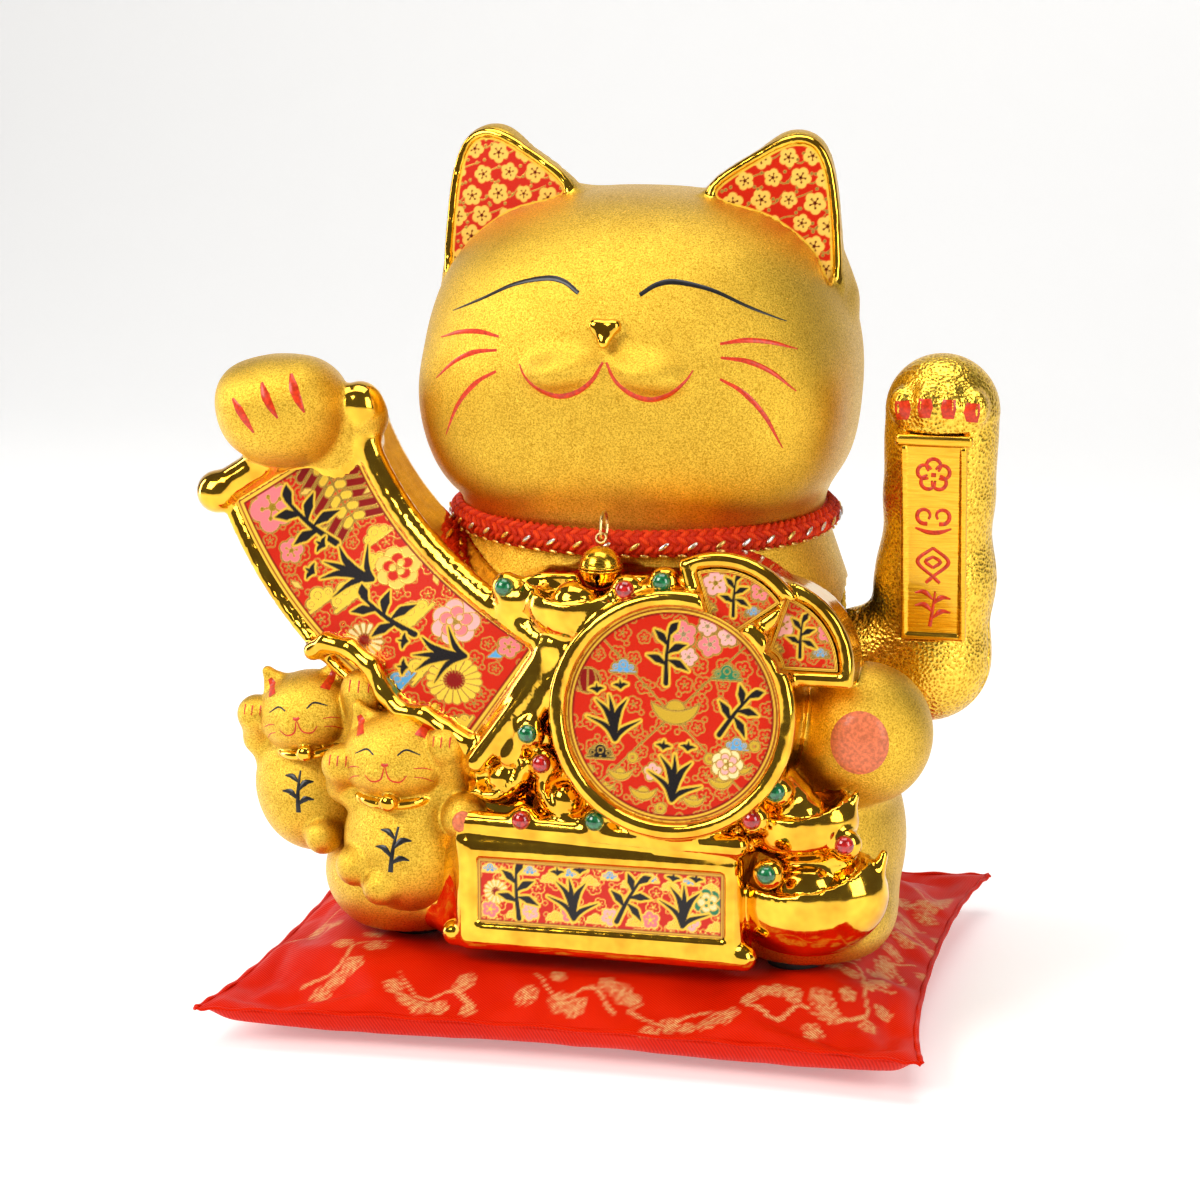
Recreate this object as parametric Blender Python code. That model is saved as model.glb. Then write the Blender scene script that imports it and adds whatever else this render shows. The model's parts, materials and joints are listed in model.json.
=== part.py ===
"""Beckoning cat figurine: a hollow gold-plated ceramic cat with a swinging arm, on a brocade cushion.

Units are metres, +Z is up and the cat faces -Y. The origin is on the cushion's underside, below the
centre of the cat's neck. The cat lifts off its cushion, the arm swings on a through axle, the bell
hangs from the collar, and the battery door and the power switch slide.
"""

import math

import bmesh
import bpy
from mathutils import Matrix, Vector

# ---------------------------------------------------------------- driving dimensions
GAP = 0.0003  # clearance left wherever two pieces rest on each other
CUSHION_TOP = 0.026
FOOT_HEIGHT = 0.0037
BASE_Z = CUSHION_TOP + FOOT_HEIGHT + 2 * GAP  # the casting's flat underside
NECK_Z = 0.168  # where the collar sits
PIVOT_Z = 0.118  # the arm's axle runs along X at this height
WALL = 0.0055  # thickness of the slip-cast ceramic

TORSO_DEPTH_RATIO = 0.84
TORSO_Y = -0.003
# Half-widths of the torso, as (height, half-width) from the base to inside the head.
TORSO = (
    (0.026, 0.074), (0.036, 0.081), (0.048, 0.086), (0.070, 0.089), (0.095, 0.086),
    (0.120, 0.080), (0.145, 0.073), (0.168, 0.064), (0.200, 0.058),
)

RIM_HEIGHT = 0.008  # ceramic left round the opening in the underside
OPENING = (0.060, 0.044)  # half-axes of that opening
PLATE = (0.070, 0.055)  # half-axes of the base plate
PLATE_THICK = 0.0028
PLATE_Z = BASE_Z + 0.0002
PLATE_TOP = PLATE_Z + PLATE_THICK

AXLE_R = 0.003
AXLE_X = (0.0245, 0.0800)
EARS_X = ((0.029, 0.032), (0.053, 0.056))  # the two upright plates of the mechanism frame
EAR_TOP_R = 0.0118
PENDULUM_X = 0.0425
SHOULDER_HOLE_R = 0.031

ARM_WALL = 0.0022
ARM_DEPTH_RATIO = 0.86
# Balls that the swinging arm's outer skin runs through: (x, y, z, radius), root to paw.
ARM_BALLS = (
    (0.068, 0.000, 0.1165, 0.0150), (0.082, 0.000, 0.1150, 0.0200), (0.101, 0.000, 0.1190, 0.0220),
    (0.1045, -0.003, 0.1480, 0.0200), (0.1060, -0.008, 0.1800, 0.0182), (0.1065, -0.010, 0.1965, 0.0182),
    (0.1070, -0.011, 0.2090, 0.0198),
)
ARM_SPLIT_Y = -0.004
# Balls that the short tail runs through up the back: (x, y, z, radius), root to tip.
TAIL_BALLS = (
    (0.046, 0.052, 0.046, 0.0100), (0.030, 0.066, 0.052, 0.0100), (0.008, 0.072, 0.060, 0.0100),
    (-0.010, 0.073, 0.076, 0.0095), (-0.014, 0.072, 0.096, 0.0090), (-0.006, 0.070, 0.112, 0.0080),
)

CELL_R = 0.00725
CELL_LENGTH = 0.0505
CELL_BUTTON = (0.0027, 0.0012)  # radius and height of a cell's positive button
CELL_SHIFT = 0.00175  # each cell sits this far towards the end that its button faces
HOUSING_X = (-0.052, 0.008)
HOUSING_HALF_Y = 0.0180
HOUSING_TOP = PLATE_TOP + 0.0175
HOUSING_WALL = 0.0018
CELL_Z = PLATE_TOP + 0.0078

CUSHION_CENTRE = (-0.006, -0.025)
CUSHION_HALF = (0.120, 0.097)
CUSHION_SEAM_Z = 0.011
CUSHION_FLAT = 0.60  # share of each half-width that stays flat, so that it rests on one plane
COVER_THICK = 0.0012

COLLAR_R = (0.0650, 0.0600)  # the cord's centre line round the neck, half-axes in X and Y
CORD_R = 0.0050
BELL_R = 0.0072
BELL_CENTRE = Vector((0.0, -0.0735, 0.1625))
LOOP_R = 0.0017  # the eye on top of the bell, to the middle of its wire
LOOP_WIRE = 0.00045
LOOP_CENTRE = BELL_CENTRE + Vector((0.0, 0.0010, BELL_R + GAP + LOOP_R + LOOP_WIRE))
LOOP_TILT = math.radians(60)
RING_R = 0.0052  # the ring that is sewn through the collar and carries the bell
RING_WIRE = 0.0005
RING_RISE = math.radians(35)
RING_TURN = Matrix.Rotation(math.pi / 2, 4, "Y")
RING_CENTRE = LOOP_CENTRE + RING_R * Vector((0.0, math.cos(RING_RISE), math.sin(RING_RISE)))

COLOURS = {
    "frosted_gold": ((0.83, 0.58, 0.16), 0.42, 1.0), "bright_gold": ((0.95, 0.66, 0.10), 0.12, 1.0),
    "arm_gold": ((0.85, 0.56, 0.12), 0.25, 1.0), "decal_red": ((0.75, 0.05, 0.02), 0.30, 0.0),
    "brocade": ((0.70, 0.03, 0.02), 0.70, 0.0), "cord_red": ((0.75, 0.06, 0.02), 0.75, 0.0),
    "filling": ((0.90, 0.90, 0.88), 0.95, 0.0), "rubber": ((0.02, 0.02, 0.02), 0.85, 0.0),
    "black_plastic": ((0.04, 0.04, 0.05), 0.55, 0.0), "white_plastic": ((0.80, 0.80, 0.78), 0.50, 0.0),
    "steel": ((0.62, 0.62, 0.64), 0.30, 1.0), "copper": ((0.72, 0.36, 0.16), 0.35, 1.0),
    "brass": ((0.86, 0.62, 0.20), 0.18, 1.0), "board_green": ((0.03, 0.25, 0.10), 0.50, 0.0),
    "cell_wrap": ((0.10, 0.16, 0.40), 0.40, 0.0), "wire_red": ((0.60, 0.03, 0.03), 0.60, 0.0),
}


# ---------------------------------------------------------------- building tools
def clear_scene():
    for obj in list(bpy.data.objects):
        bpy.data.objects.remove(obj)


def material(name):
    found = bpy.data.materials.get(name)
    if found:
        return found
    colour, roughness, metallic = COLOURS[name]
    made = bpy.data.materials.new(name)
    made.use_nodes = True
    shader = made.node_tree.nodes["Principled BSDF"]
    shader.inputs["Base Color"].default_value = (*colour, 1.0)
    shader.inputs["Roughness"].default_value = roughness
    shader.inputs["Metallic"].default_value = metallic
    return made


def new_object(name, shape, finish=None, smooth=False):
    """An object named name from a bmesh, which is freed. With no finish it is a hidden cutter."""
    bmesh.ops.recalc_face_normals(shape, faces=shape.faces)
    mesh = bpy.data.meshes.new(name)
    shape.to_mesh(mesh)
    shape.free()
    obj = bpy.data.objects.new(name, mesh)
    bpy.context.scene.collection.objects.link(obj)
    if finish:
        mesh.materials.append(material(finish))
    else:
        hide(obj)
    if smooth:
        mesh.shade_smooth()
        mesh.set_sharp_from_angle(angle=math.radians(35))
    return obj


def hide(obj):
    obj.hide_render = True
    obj.display_type = "WIRE"


def boolean(obj, other, operation="DIFFERENCE"):
    modifier = obj.modifiers.new(operation.title(), "BOOLEAN")
    modifier.operation = operation
    modifier.solver = "EXACT"
    modifier.object = other
    hide(other)


def add_ellipsoid(shape, centre, radii, turn=None, segments=20, rings=12):
    matrix = Matrix.Translation(centre) @ (turn or Matrix()) @ Matrix.Diagonal((*radii, 1.0))
    bmesh.ops.create_uvsphere(shape, u_segments=segments, v_segments=rings, radius=1.0, matrix=matrix)


def add_box(shape, low, high, turn=None):
    low, high = Vector(low), Vector(high)
    matrix = Matrix.Translation((low + high) / 2) @ (turn or Matrix())
    bmesh.ops.create_cube(shape, size=1.0, matrix=matrix @ Matrix.Diagonal((*(high - low), 1.0)))


def along(start, end):
    """A matrix that carries the Z axis onto the way from start to end, centred between them."""
    start, end = Vector(start), Vector(end)
    turn = Vector((0, 0, 1)).rotation_difference(end - start).to_matrix().to_4x4()
    return Matrix.Translation((start + end) / 2) @ turn


def add_rod(shape, start, end, radius, segments=24, end_radius=None):
    bmesh.ops.create_cone(
        shape, cap_ends=True, segments=segments, radius1=radius,
        radius2=radius if end_radius is None else end_radius,
        depth=(Vector(end) - Vector(start)).length, matrix=along(start, end),
    )


def add_hull(shape, balls, squash=1.0, segments=12):
    """The convex hull of balls, each (x, y, z, radius); squash flattens them along Y."""
    hull = bmesh.new()
    for x, y, z, radius in balls:
        add_ellipsoid(hull, (x, y, z), (radius, radius * squash, radius), None, segments, segments // 2)
    bmesh.ops.convex_hull(hull, input=hull.verts)
    loose = [vert for vert in hull.verts if not vert.link_faces]
    bmesh.ops.delete(hull, geom=loose, context="VERTS")
    mesh = bpy.data.meshes.new("hull")
    hull.to_mesh(mesh)
    hull.free()
    shape.from_mesh(mesh)
    bpy.data.meshes.remove(mesh)


def add_chain(shape, balls, squash=1.0, segments=12):
    for pair in zip(balls, balls[1:]):
        add_hull(shape, pair, squash, segments)


def add_turned(shape, profile, matrix=None, segments=24):
    """A closed profile of (radius, height) points turned about Z; points at radius 0 close on the axis."""
    rings = []
    for radius, height in profile:
        if radius == 0:
            rings.append([shape.verts.new((0, 0, height))])
            continue
        angles = [2 * math.pi * step / segments for step in range(segments)]
        rings.append([shape.verts.new((radius * math.cos(a), radius * math.sin(a), height)) for a in angles])
    made = [vert for ring in rings for vert in ring]
    for ring, after in zip(rings, rings[1:] + rings[:1]):
        for step in range(segments):
            nearby = (step + 1) % segments
            corners = [ring[step % len(ring)], ring[nearby % len(ring)],
                       after[nearby % len(after)], after[step % len(after)]]
            corners = list(dict.fromkeys(corners))
            if len(corners) > 2:
                shape.faces.new(corners)
    bmesh.ops.transform(shape, matrix=matrix or Matrix(), verts=made)


def add_slab(shape, outer, inner):
    """A closed sheet between two grids of points that have the same rows and columns."""
    rows, columns = len(outer), len(outer[0])
    front = [[shape.verts.new(point) for point in row] for row in outer]
    back = [[shape.verts.new(point) for point in row] for row in inner]
    for i in range(rows - 1):
        for j in range(columns - 1):
            shape.faces.new((front[i][j], front[i][j + 1], front[i + 1][j + 1], front[i + 1][j]))
            shape.faces.new((back[i][j], back[i + 1][j], back[i + 1][j + 1], back[i][j + 1]))
    edge = [(0, j) for j in range(columns)] + [(i, columns - 1) for i in range(1, rows)]
    edge += [(rows - 1, j) for j in range(columns - 2, -1, -1)] + [(i, 0) for i in range(rows - 2, 0, -1)]
    for (i, j), (k, m) in zip(edge, edge[1:] + edge[:1]):
        shape.faces.new((front[i][j], back[i][j], back[k][m], front[k][m]))


def add_prism(shape, outline, frame, low, high):
    """A flat outline of (x, y) points in frame's own plane, from low to high along its Z axis."""
    ends = [[shape.verts.new(frame @ Vector((x, y, z))) for x, y in outline] for z in (low, high)]
    shape.faces.new(ends[0])
    shape.faces.new(ends[1])
    count = len(outline)
    for i in range(count):
        shape.faces.new((ends[0][i], ends[0][(i + 1) % count], ends[1][(i + 1) % count], ends[1][i]))


def fuse(obj, voxel, smoothing, keep):
    """Fuses overlapping shapes into one skin, rounds its inner corners, and thins it to the share keep."""
    remesh = obj.modifiers.new("Fuse", "REMESH")
    remesh.mode = "VOXEL"
    remesh.voxel_size = voxel
    round_off = obj.modifiers.new("Round", "SMOOTH")
    round_off.factor = 0.5
    round_off.iterations = smoothing
    thin = obj.modifiers.new("Thin", "DECIMATE")
    thin.ratio = keep


def wire(name, points, radius, finish):
    """A lead that runs smoothly through points, as a curve with closed ends."""
    curve = bpy.data.curves.new(name, "CURVE")
    curve.dimensions = "3D"
    curve.bevel_depth = radius
    curve.bevel_resolution = 1
    curve.resolution_u = 4
    curve.use_fill_caps = True
    spline = curve.splines.new("BEZIER")
    spline.bezier_points.add(len(points) - 1)
    for knot, point in zip(spline.bezier_points, points):
        knot.co = point
        knot.handle_left_type = knot.handle_right_type = "AUTO"
    curve.materials.append(material(finish))
    obj = bpy.data.objects.new(name, curve)
    bpy.context.scene.collection.objects.link(obj)
    return obj


# ---------------------------------------------------------------- places shared by several parts
def plane(centre, yaw, lean):
    """A frame whose Z axis faces the front: yaw turns it towards +X, lean tips its top backwards."""
    turn = Matrix.Rotation(yaw, 4, "Z") @ Matrix.Rotation(math.pi / 2 - lean, 4, "X")
    return Matrix.Translation(centre) @ turn


DRUM = plane((0.029, -0.0960, 0.1185), 0.0, math.radians(8))
DRUM_R = 0.0360
DRUM_RIM = 0.0055
FANS = (
    (plane((0.0480, -0.0880, 0.1560), 0.0, math.radians(8)), math.radians(-18)),
    (plane((0.0700, -0.0855, 0.1425), 0.0, math.radians(8)), math.radians(-54)),
)
FAN_INNER, FAN_OUTER = 0.0065, 0.0250  # radii of a fan decal's two arcs
FAN_HALF_ANGLE = math.radians(36)
FAN_DROP = 0.0150  # from the fan's frame down to the centre of its arcs
PLAQUE_X = (-0.0375, 0.0475)
PLAQUE_Z = (0.0425, 0.0655)
PLAQUE_Y = -0.0985
EARS = {
    "right": plane((-0.0470, -0.0105, 0.2720), math.radians(-6), math.radians(6)),
    "left": plane((0.0470, -0.0105, 0.2720), math.radians(6), math.radians(6)),
}
# The ear panel's outline in its own plane, for the ear on the +X side.
EAR_OUTLINE = ((0.0205, -0.0210), (0.0130, -0.0085), (-0.0010, 0.0020), (-0.0205, 0.0095),
               (-0.0040, 0.0225), (0.0080, 0.0275), (0.0155, 0.0235), (0.0195, 0.0080))
# The raised arm's sections, wrist to chest: (centre, half-width, half-depth, roll in degrees).
RAISED_ARM = (
    ((-0.1165, -0.0330, 0.1985), 0.0325, 0.0170, 29),
    ((-0.1060, -0.0345, 0.1790), 0.0315, 0.0185, 31),
    ((-0.0890, -0.0400, 0.1560), 0.0310, 0.0205, 36),
    ((-0.0690, -0.0490, 0.1370), 0.0305, 0.0220, 44),
    ((-0.0460, -0.0600, 0.1230), 0.0280, 0.0240, 50),
)


def raised_arm_point(section, across, out):
    """A point of one raised-arm section: across its width from -1 to 1, out along its front from 0 to 1."""
    centre, half_width, half_depth, roll = section
    angle = math.radians(roll)
    side = Vector((math.cos(angle), 0, math.sin(angle)))
    return Vector(centre) + side * half_width * across + Vector((0, -half_depth * out, 0))


def banner_grid(across, depth):
    """Points of the sheet on the raised arm's front, sunk by depth, between -across and across."""
    steps = [across * (-1 + 0.5 * step) for step in range(5)]
    grid = []
    for section in RAISED_ARM:
        grid.append([raised_arm_point(section, step, 1.0) + Vector((0, depth, 0)) for step in steps])
    return grid


def torso_point(height, inset=0.0):
    """Half-widths (x, y) of the torso at a height, less inset."""
    for (low, wide), (high, after) in zip(TORSO, TORSO[1:]):
        if height <= high:
            share = max(0.0, (height - low) / (high - low))
            width = wide + (after - wide) * share
            return width - inset, width * TORSO_DEPTH_RATIO - inset
    return TORSO[-1][1] - inset, TORSO[-1][1] * TORSO_DEPTH_RATIO - inset


def add_torso(shape, low, high, inset, segments=36):
    heights = [low] + [h for h, _ in TORSO if low < h < high] + [high]
    profile = [(0, low)] + [(1.0, h) for h in heights] + [(0, high)]
    torso = bmesh.new()
    add_turned(torso, profile, None, segments)
    for vert in torso.verts:
        half_x, half_y = torso_point(vert.co.z, inset)
        vert.co.x *= half_x
        vert.co.y = vert.co.y * half_y + TORSO_Y
    mesh = bpy.data.meshes.new("torso")
    torso.to_mesh(mesh)
    torso.free()
    shape.from_mesh(mesh)
    bpy.data.meshes.remove(mesh)


# ---------------------------------------------------------------- the ceramic casting
def add_head(shape, inset=0.0):
    add_ellipsoid(shape, (0, 0, 0.210), (0.0760 - inset, 0.0665 - inset, 0.0500 - inset))
    add_ellipsoid(shape, (0, 0, 0.232), (0.0715 - inset, 0.0620 - inset, 0.0515 - inset))
    if inset:
        return
    add_ellipsoid(shape, (0, -0.048, 0.224), (0.030, 0.026, 0.015))
    for side in (-1, 1):
        add_hull(shape, ((side * 0.0530, 0.004, 0.2985, 0.0075), (side * 0.0645, 0.002, 0.2480, 0.0100),
                         (side * 0.0250, 0.002, 0.2715, 0.0110)))


def add_raised_arm(shape):
    for first, second in zip(RAISED_ARM, RAISED_ARM[1:]):
        balls = []
        for section in (first, second):
            corner = section[2] * 0.45
            for across in (-1, 1):
                for out in (-1, 1):
                    point = raised_arm_point(section, across * (1 - corner / section[1]), out * 0.55)
                    balls.append((*point, corner))
        add_hull(shape, balls)
    add_ellipsoid(shape, (-0.1165, -0.0520, 0.2075), (0.0215, 0.0215, 0.0205))


def add_kitten(shape, centre, size, lean):
    """A small cat in relief: body, head, two ears, raised paws and feet, all scaled by size."""
    turn = Matrix.Rotation(math.radians(lean), 4, "Y")
    place = Matrix.Translation(centre) @ turn @ Matrix.Scale(size, 4)
    small = bmesh.new()
    add_ellipsoid(small, (0, 0.004, -0.004), (0.0250, 0.0200, 0.0300))
    add_ellipsoid(small, (0, -0.006, 0.0290), (0.0205, 0.0180, 0.0170))
    for side in (-1, 1):
        add_hull(small, ((side * 0.0140, -0.004, 0.0465, 0.0020), (side * 0.0165, -0.004, 0.0360, 0.0030),
                         (side * 0.0055, -0.004, 0.0430, 0.0030)), 1.0, 8)
        raised_arm = ((side * 0.0200, 0.000, 0.0060, 0.0075), (side * 0.0270, -0.004, 0.0250, 0.0075))
        add_chain(small, raised_arm, 1.0, 10)
        add_ellipsoid(small, (side * 0.0200, -0.012, -0.0180), (0.0085, 0.0110, 0.0085), None, 12, 8)
    mesh = bpy.data.meshes.new("kitten")
    small.to_mesh(mesh)
    small.free()
    mesh.transform(place)
    shape.from_mesh(mesh)
    bpy.data.meshes.remove(mesh)


def add_ingot(shape, centre, half_width, roll):
    """A boat-shaped ingot: a dished hull with a ball in its middle."""
    turn = Matrix.Rotation(math.radians(roll), 4, "Y")
    add_ellipsoid(shape, centre, (half_width, half_width * 0.60, half_width * 0.50), turn)
    lift = turn @ Vector((0, -half_width * 0.15, half_width * 0.35))
    add_ellipsoid(shape, Vector(centre) + lift, (half_width * 0.50,) * 3)


def add_front(shape):
    """The drum, the fans, the plaque block, the slope left of the drum, the ingots and the tail."""
    add_rod(shape, DRUM @ Vector((0, 0, 0.0010)), DRUM @ Vector((0, 0, -0.050)), DRUM_R + DRUM_RIM, 32)
    for frame, _ in FANS:
        add_rod(shape, frame @ Vector((0, 0, 0.001)), frame @ Vector((0, 0, -0.030)), 0.0170, 24)
    add_hull(shape, ((PLAQUE_X[0], -0.088, 0.040, 0.0090), (PLAQUE_X[1], -0.090, 0.040, 0.0090),
                     (PLAQUE_X[0], -0.086, 0.070, 0.0090), (PLAQUE_X[1], -0.090, 0.070, 0.0090),
                     (PLAQUE_X[0] - 0.010, -0.050, 0.036, 0.010),
                     (PLAQUE_X[1] + 0.010, -0.050, 0.036, 0.010)))
    add_hull(shape, ((-0.0400, -0.088, 0.0760, 0.0070), (0.0520, -0.094, 0.0740, 0.0070)))
    add_hull(shape, ((-0.0420, -0.080, 0.0880, 0.0060), (-0.0120, -0.084, 0.1400, 0.0060),
                     (0.0000, -0.084, 0.0820, 0.0060), (-0.0300, -0.050, 0.1100, 0.0100)))
    add_hull(shape, ((-0.0200, -0.072, 0.1370, 0.0070), (0.0460, -0.076, 0.1540, 0.0060),
                     (0.0050, -0.056, 0.1330, 0.0100)))
    add_ingot(shape, (0.0730, -0.080, 0.0530), 0.0265, 0)
    add_ingot(shape, (0.0705, -0.084, 0.0830), 0.0200, 4)
    add_chain(shape, TAIL_BALLS)


def add_legs(shape):
    """The haunch, the hind foot that points forward, and the base under the kittens."""
    add_ellipsoid(shape, (0.058, -0.040, 0.072), (0.030, 0.036, 0.040))
    add_chain(shape, ((0.070, -0.040, 0.090, 0.0215), (0.0885, -0.062, 0.1050, 0.0235)), 1.0, 20)
    add_ellipsoid(shape, (-0.070, -0.052, 0.040), (0.0265, 0.0330, 0.0200))
    add_ellipsoid(shape, (0.066, -0.062, 0.040), (0.0260, 0.0300, 0.0200))


def add_side_hollows(shape):
    """The hollows in the raised arm, behind the drum, in the kittens, the ingots and the hind foot."""
    arm = []
    for section in RAISED_ARM:
        for across in (-0.45, 0.45):
            arm.append((*raised_arm_point(section, across, -0.20), 0.0095))
    for i in range(0, len(arm) - 2, 2):
        add_hull(shape, arm[i:i + 4])
    add_hull(shape, ((-0.030, -0.072, 0.055, 0.010), (0.038, -0.074, 0.055, 0.010),
                     (0.046, -0.070, 0.105, 0.010), (0.012, -0.070, 0.128, 0.010),
                     (-0.018, -0.064, 0.110, 0.010), (0.010, -0.045, 0.080, 0.020)))
    for path in (((-0.0680, -0.0740, 0.0600, 0.0150), (-0.0580, -0.0380, 0.0620, 0.0150)),
                 ((-0.0960, -0.0560, 0.0800, 0.0120), (-0.0560, -0.0300, 0.0800, 0.0120)),
                 ((0.0700, -0.0760, 0.0560, 0.0090), (0.0560, -0.0400, 0.0600, 0.0120)),
                 ((0.0880, -0.0620, 0.1040, 0.0170), (0.0640, -0.0320, 0.0860, 0.0150))):
        add_chain(shape, path)


def cavity():
    """The hollow of the slip casting: every part of it, less the wall, joined to the opening below."""
    shape = bmesh.new()
    add_torso(shape, BASE_Z + RIM_HEIGHT, 0.190, WALL, 28)
    add_head(shape, WALL + 0.001)
    add_side_hollows(shape)
    made = new_object("cavity", shape)
    fuse(made, 0.004, 1, 0.06)
    return made


def body_shell():
    """One slip-cast piece: head, torso, raised arm, kittens, drum, ingots, feet and tail."""
    shape = bmesh.new()
    add_torso(shape, 0.026, 0.200, 0.0)
    add_head(shape)
    add_raised_arm(shape)
    add_kitten(shape, (-0.0680, -0.0760, 0.0640), 1.0, -4)
    add_kitten(shape, (-0.1030, -0.0590, 0.0790), 0.86, -12)
    add_front(shape)
    add_legs(shape)
    obj = new_object("body_shell", shape, "frosted_gold")
    fuse(obj, 0.0025, 3, 0.036)
    boolean(obj, cavity())
    cutter = bmesh.new()
    add_box(cutter, (-0.2, -0.2, -0.01), (0.2, 0.2, BASE_Z))
    boolean(obj, new_object("ground_cut", cutter))
    below = BASE_Z - 0.01
    rebate = (PLATE[0] + GAP, PLATE[1] + GAP)
    for name, half, low, high in (("opening_cut", OPENING, below, BASE_Z + RIM_HEIGHT + 0.006),
                                  ("rebate_cut", rebate, below, PLATE_TOP + GAP)):
        cutter = bmesh.new()
        add_turned(cutter, ((0, low), (1, low), (1, high), (0, high)), Matrix.Diagonal((*half, 1, 1)), 32)
        boolean(obj, new_object(name, cutter))
    cutter = bmesh.new()
    add_rod(cutter, (0.060, 0.002, PIVOT_Z), (0.135, 0.002, PIVOT_Z), SHOULDER_HOLE_R, 28)
    boolean(obj, new_object("shoulder_cut", cutter))
    cut_pockets(obj)
    cutter = bmesh.new()
    add_collar_ring(cutter, CORD_R + 2 * GAP, 32, 8)
    boolean(obj, new_object("collar_groove", cutter))
    for place in plate_screw_places():
        cutter = bmesh.new()
        add_rod(cutter, place - Vector((0, 0, 0.01)), place + Vector((0, 0, 0.0095)), 0.0016, 12)
        boolean(obj, new_object("screw_cut", cutter))
    cutter = bmesh.new()
    add_rod(cutter, SOCKET_PLACE - Vector((0, 0.030, 0)), SOCKET_PLACE + Vector((0, 0.030, 0)), 0.0058, 20)
    boolean(obj, new_object("socket_cut", cutter))
    cutter = bmesh.new()
    add_rod(cutter, SOCKET_PLACE, SOCKET_PLACE + Vector((0, 0.030, 0)), 0.0082, 24)
    boolean(obj, new_object("spot_face_cut", cutter))
    return obj


# ---------------------------------------------------------------- printed decals, each in a shallow pocket
DECAL_THICK = 0.0006
POCKET_DEPTH = 0.0012


def circle(radius, count, start=0.0, turn=2 * math.pi):
    return [(radius * math.cos(start + turn * i / count), radius * math.sin(start + turn * i / count))
            for i in range(count)]


def rectangle(half_width, low, high):
    return [(-half_width, low), (half_width, low), (half_width, high), (-half_width, high)]


def fan_outline(heading):
    """A fan: an outer arc over an inner arc, both centred below it, opening along heading."""
    up = heading + math.pi / 2
    points = []
    for radius, order in ((FAN_OUTER, range(9)), (FAN_INNER, range(8, -1, -1))):
        for step in order:
            angle = up + FAN_HALF_ANGLE * (1 - step / 4)
            points.append((radius * math.cos(angle) - FAN_DROP * math.cos(up),
                           radius * math.sin(angle) - FAN_DROP * math.sin(up)))
    return points


def grown(outline, margin):
    """The outline pushed outwards from its own middle by margin."""
    middle = Vector((sum(x for x, _ in outline), sum(y for _, y in outline))) / len(outline)
    spread = []
    for x, y in outline:
        way = Vector((x, y)) - middle
        spread.append(tuple(middle + way * (1 + margin / way.length)))
    return spread


def ear_outline(side):
    return [(x if side == "left" else -x, y) for x, y in EAR_OUTLINE]


def flat_decals():
    """Name, frame and outline of each flat decal."""
    found = [("drum_decal", DRUM, circle(DRUM_R, 36))]
    for number, (frame, heading) in enumerate(FANS, 1):
        found.append((f"fan_decal_{number}", frame, fan_outline(heading)))
    for side, frame in EARS.items():
        found.append((f"ear_decal_{side}", frame, ear_outline(side)))
    return found


def plaque_grid(margin, depth):
    """The plaque's gently bowed sheet, widened by margin and sunk by depth."""
    grid = []
    for row in range(2):
        z = PLAQUE_Z[row] + margin * (2 * row - 1)
        line = []
        for step in range(9):
            share = step / 8
            x = PLAQUE_X[0] - margin + (PLAQUE_X[1] - PLAQUE_X[0] + 2 * margin) * share
            bow = 0.0030 * (2 * share - 1) ** 2
            line.append(Vector((x, PLAQUE_Y + bow + depth, z)))
        grid.append(line)
    return grid


def cut_pockets(obj):
    for name, frame, outline in flat_decals():
        cutter = bmesh.new()
        add_prism(cutter, grown(outline, 0.0004), frame, -POCKET_DEPTH, 0.012)
        boolean(obj, new_object(name + "_cut", cutter))
    cutter = bmesh.new()
    add_slab(cutter, plaque_grid(0.0004, -0.012), plaque_grid(0.0004, POCKET_DEPTH))
    boolean(obj, new_object("plaque_cut", cutter))
    cutter = bmesh.new()
    add_slab(cutter, banner_grid(0.86, -0.012), banner_grid(0.86, POCKET_DEPTH + 0.0015))
    boolean(obj, new_object("banner_cut", cutter))


def decals():
    for name, frame, outline in flat_decals():
        shape = bmesh.new()
        low = -POCKET_DEPTH + GAP
        add_prism(shape, outline, frame, low, low + DECAL_THICK)
        new_object(name, shape, "decal_red")
    shape = bmesh.new()
    low = POCKET_DEPTH - GAP
    add_slab(shape, plaque_grid(0.0, low - DECAL_THICK), plaque_grid(0.0, low))
    new_object("plaque_decal", shape, "decal_red")
    shape = bmesh.new()
    low = POCKET_DEPTH + 0.0015 - GAP * 1.5
    add_slab(shape, banner_grid(0.84, low - DECAL_THICK), banner_grid(0.84, low))
    new_object("banner_decal", shape, "decal_red")


# ---------------------------------------------------------------- base plate, power and feet
SOCKET_PLACE = Vector((-0.0300, 0.0610, 0.0500))
DOOR_X = (-0.0560, 0.0120)
DOOR_HALF_Y = 0.0210
DOOR_Z = (0.02855, 0.02995)
SWITCH_PLACE = Vector((0.0300, -0.0270, PLATE_TOP))
SWITCH_TRAVEL = 0.003


def plate_screw_places():
    angles = [math.radians(a) for a in (35, 145, 215, 325)]
    return [Vector((0.0650 * math.cos(a), 0.0495 * math.sin(a), PLATE_TOP + GAP)) for a in angles]


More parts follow.
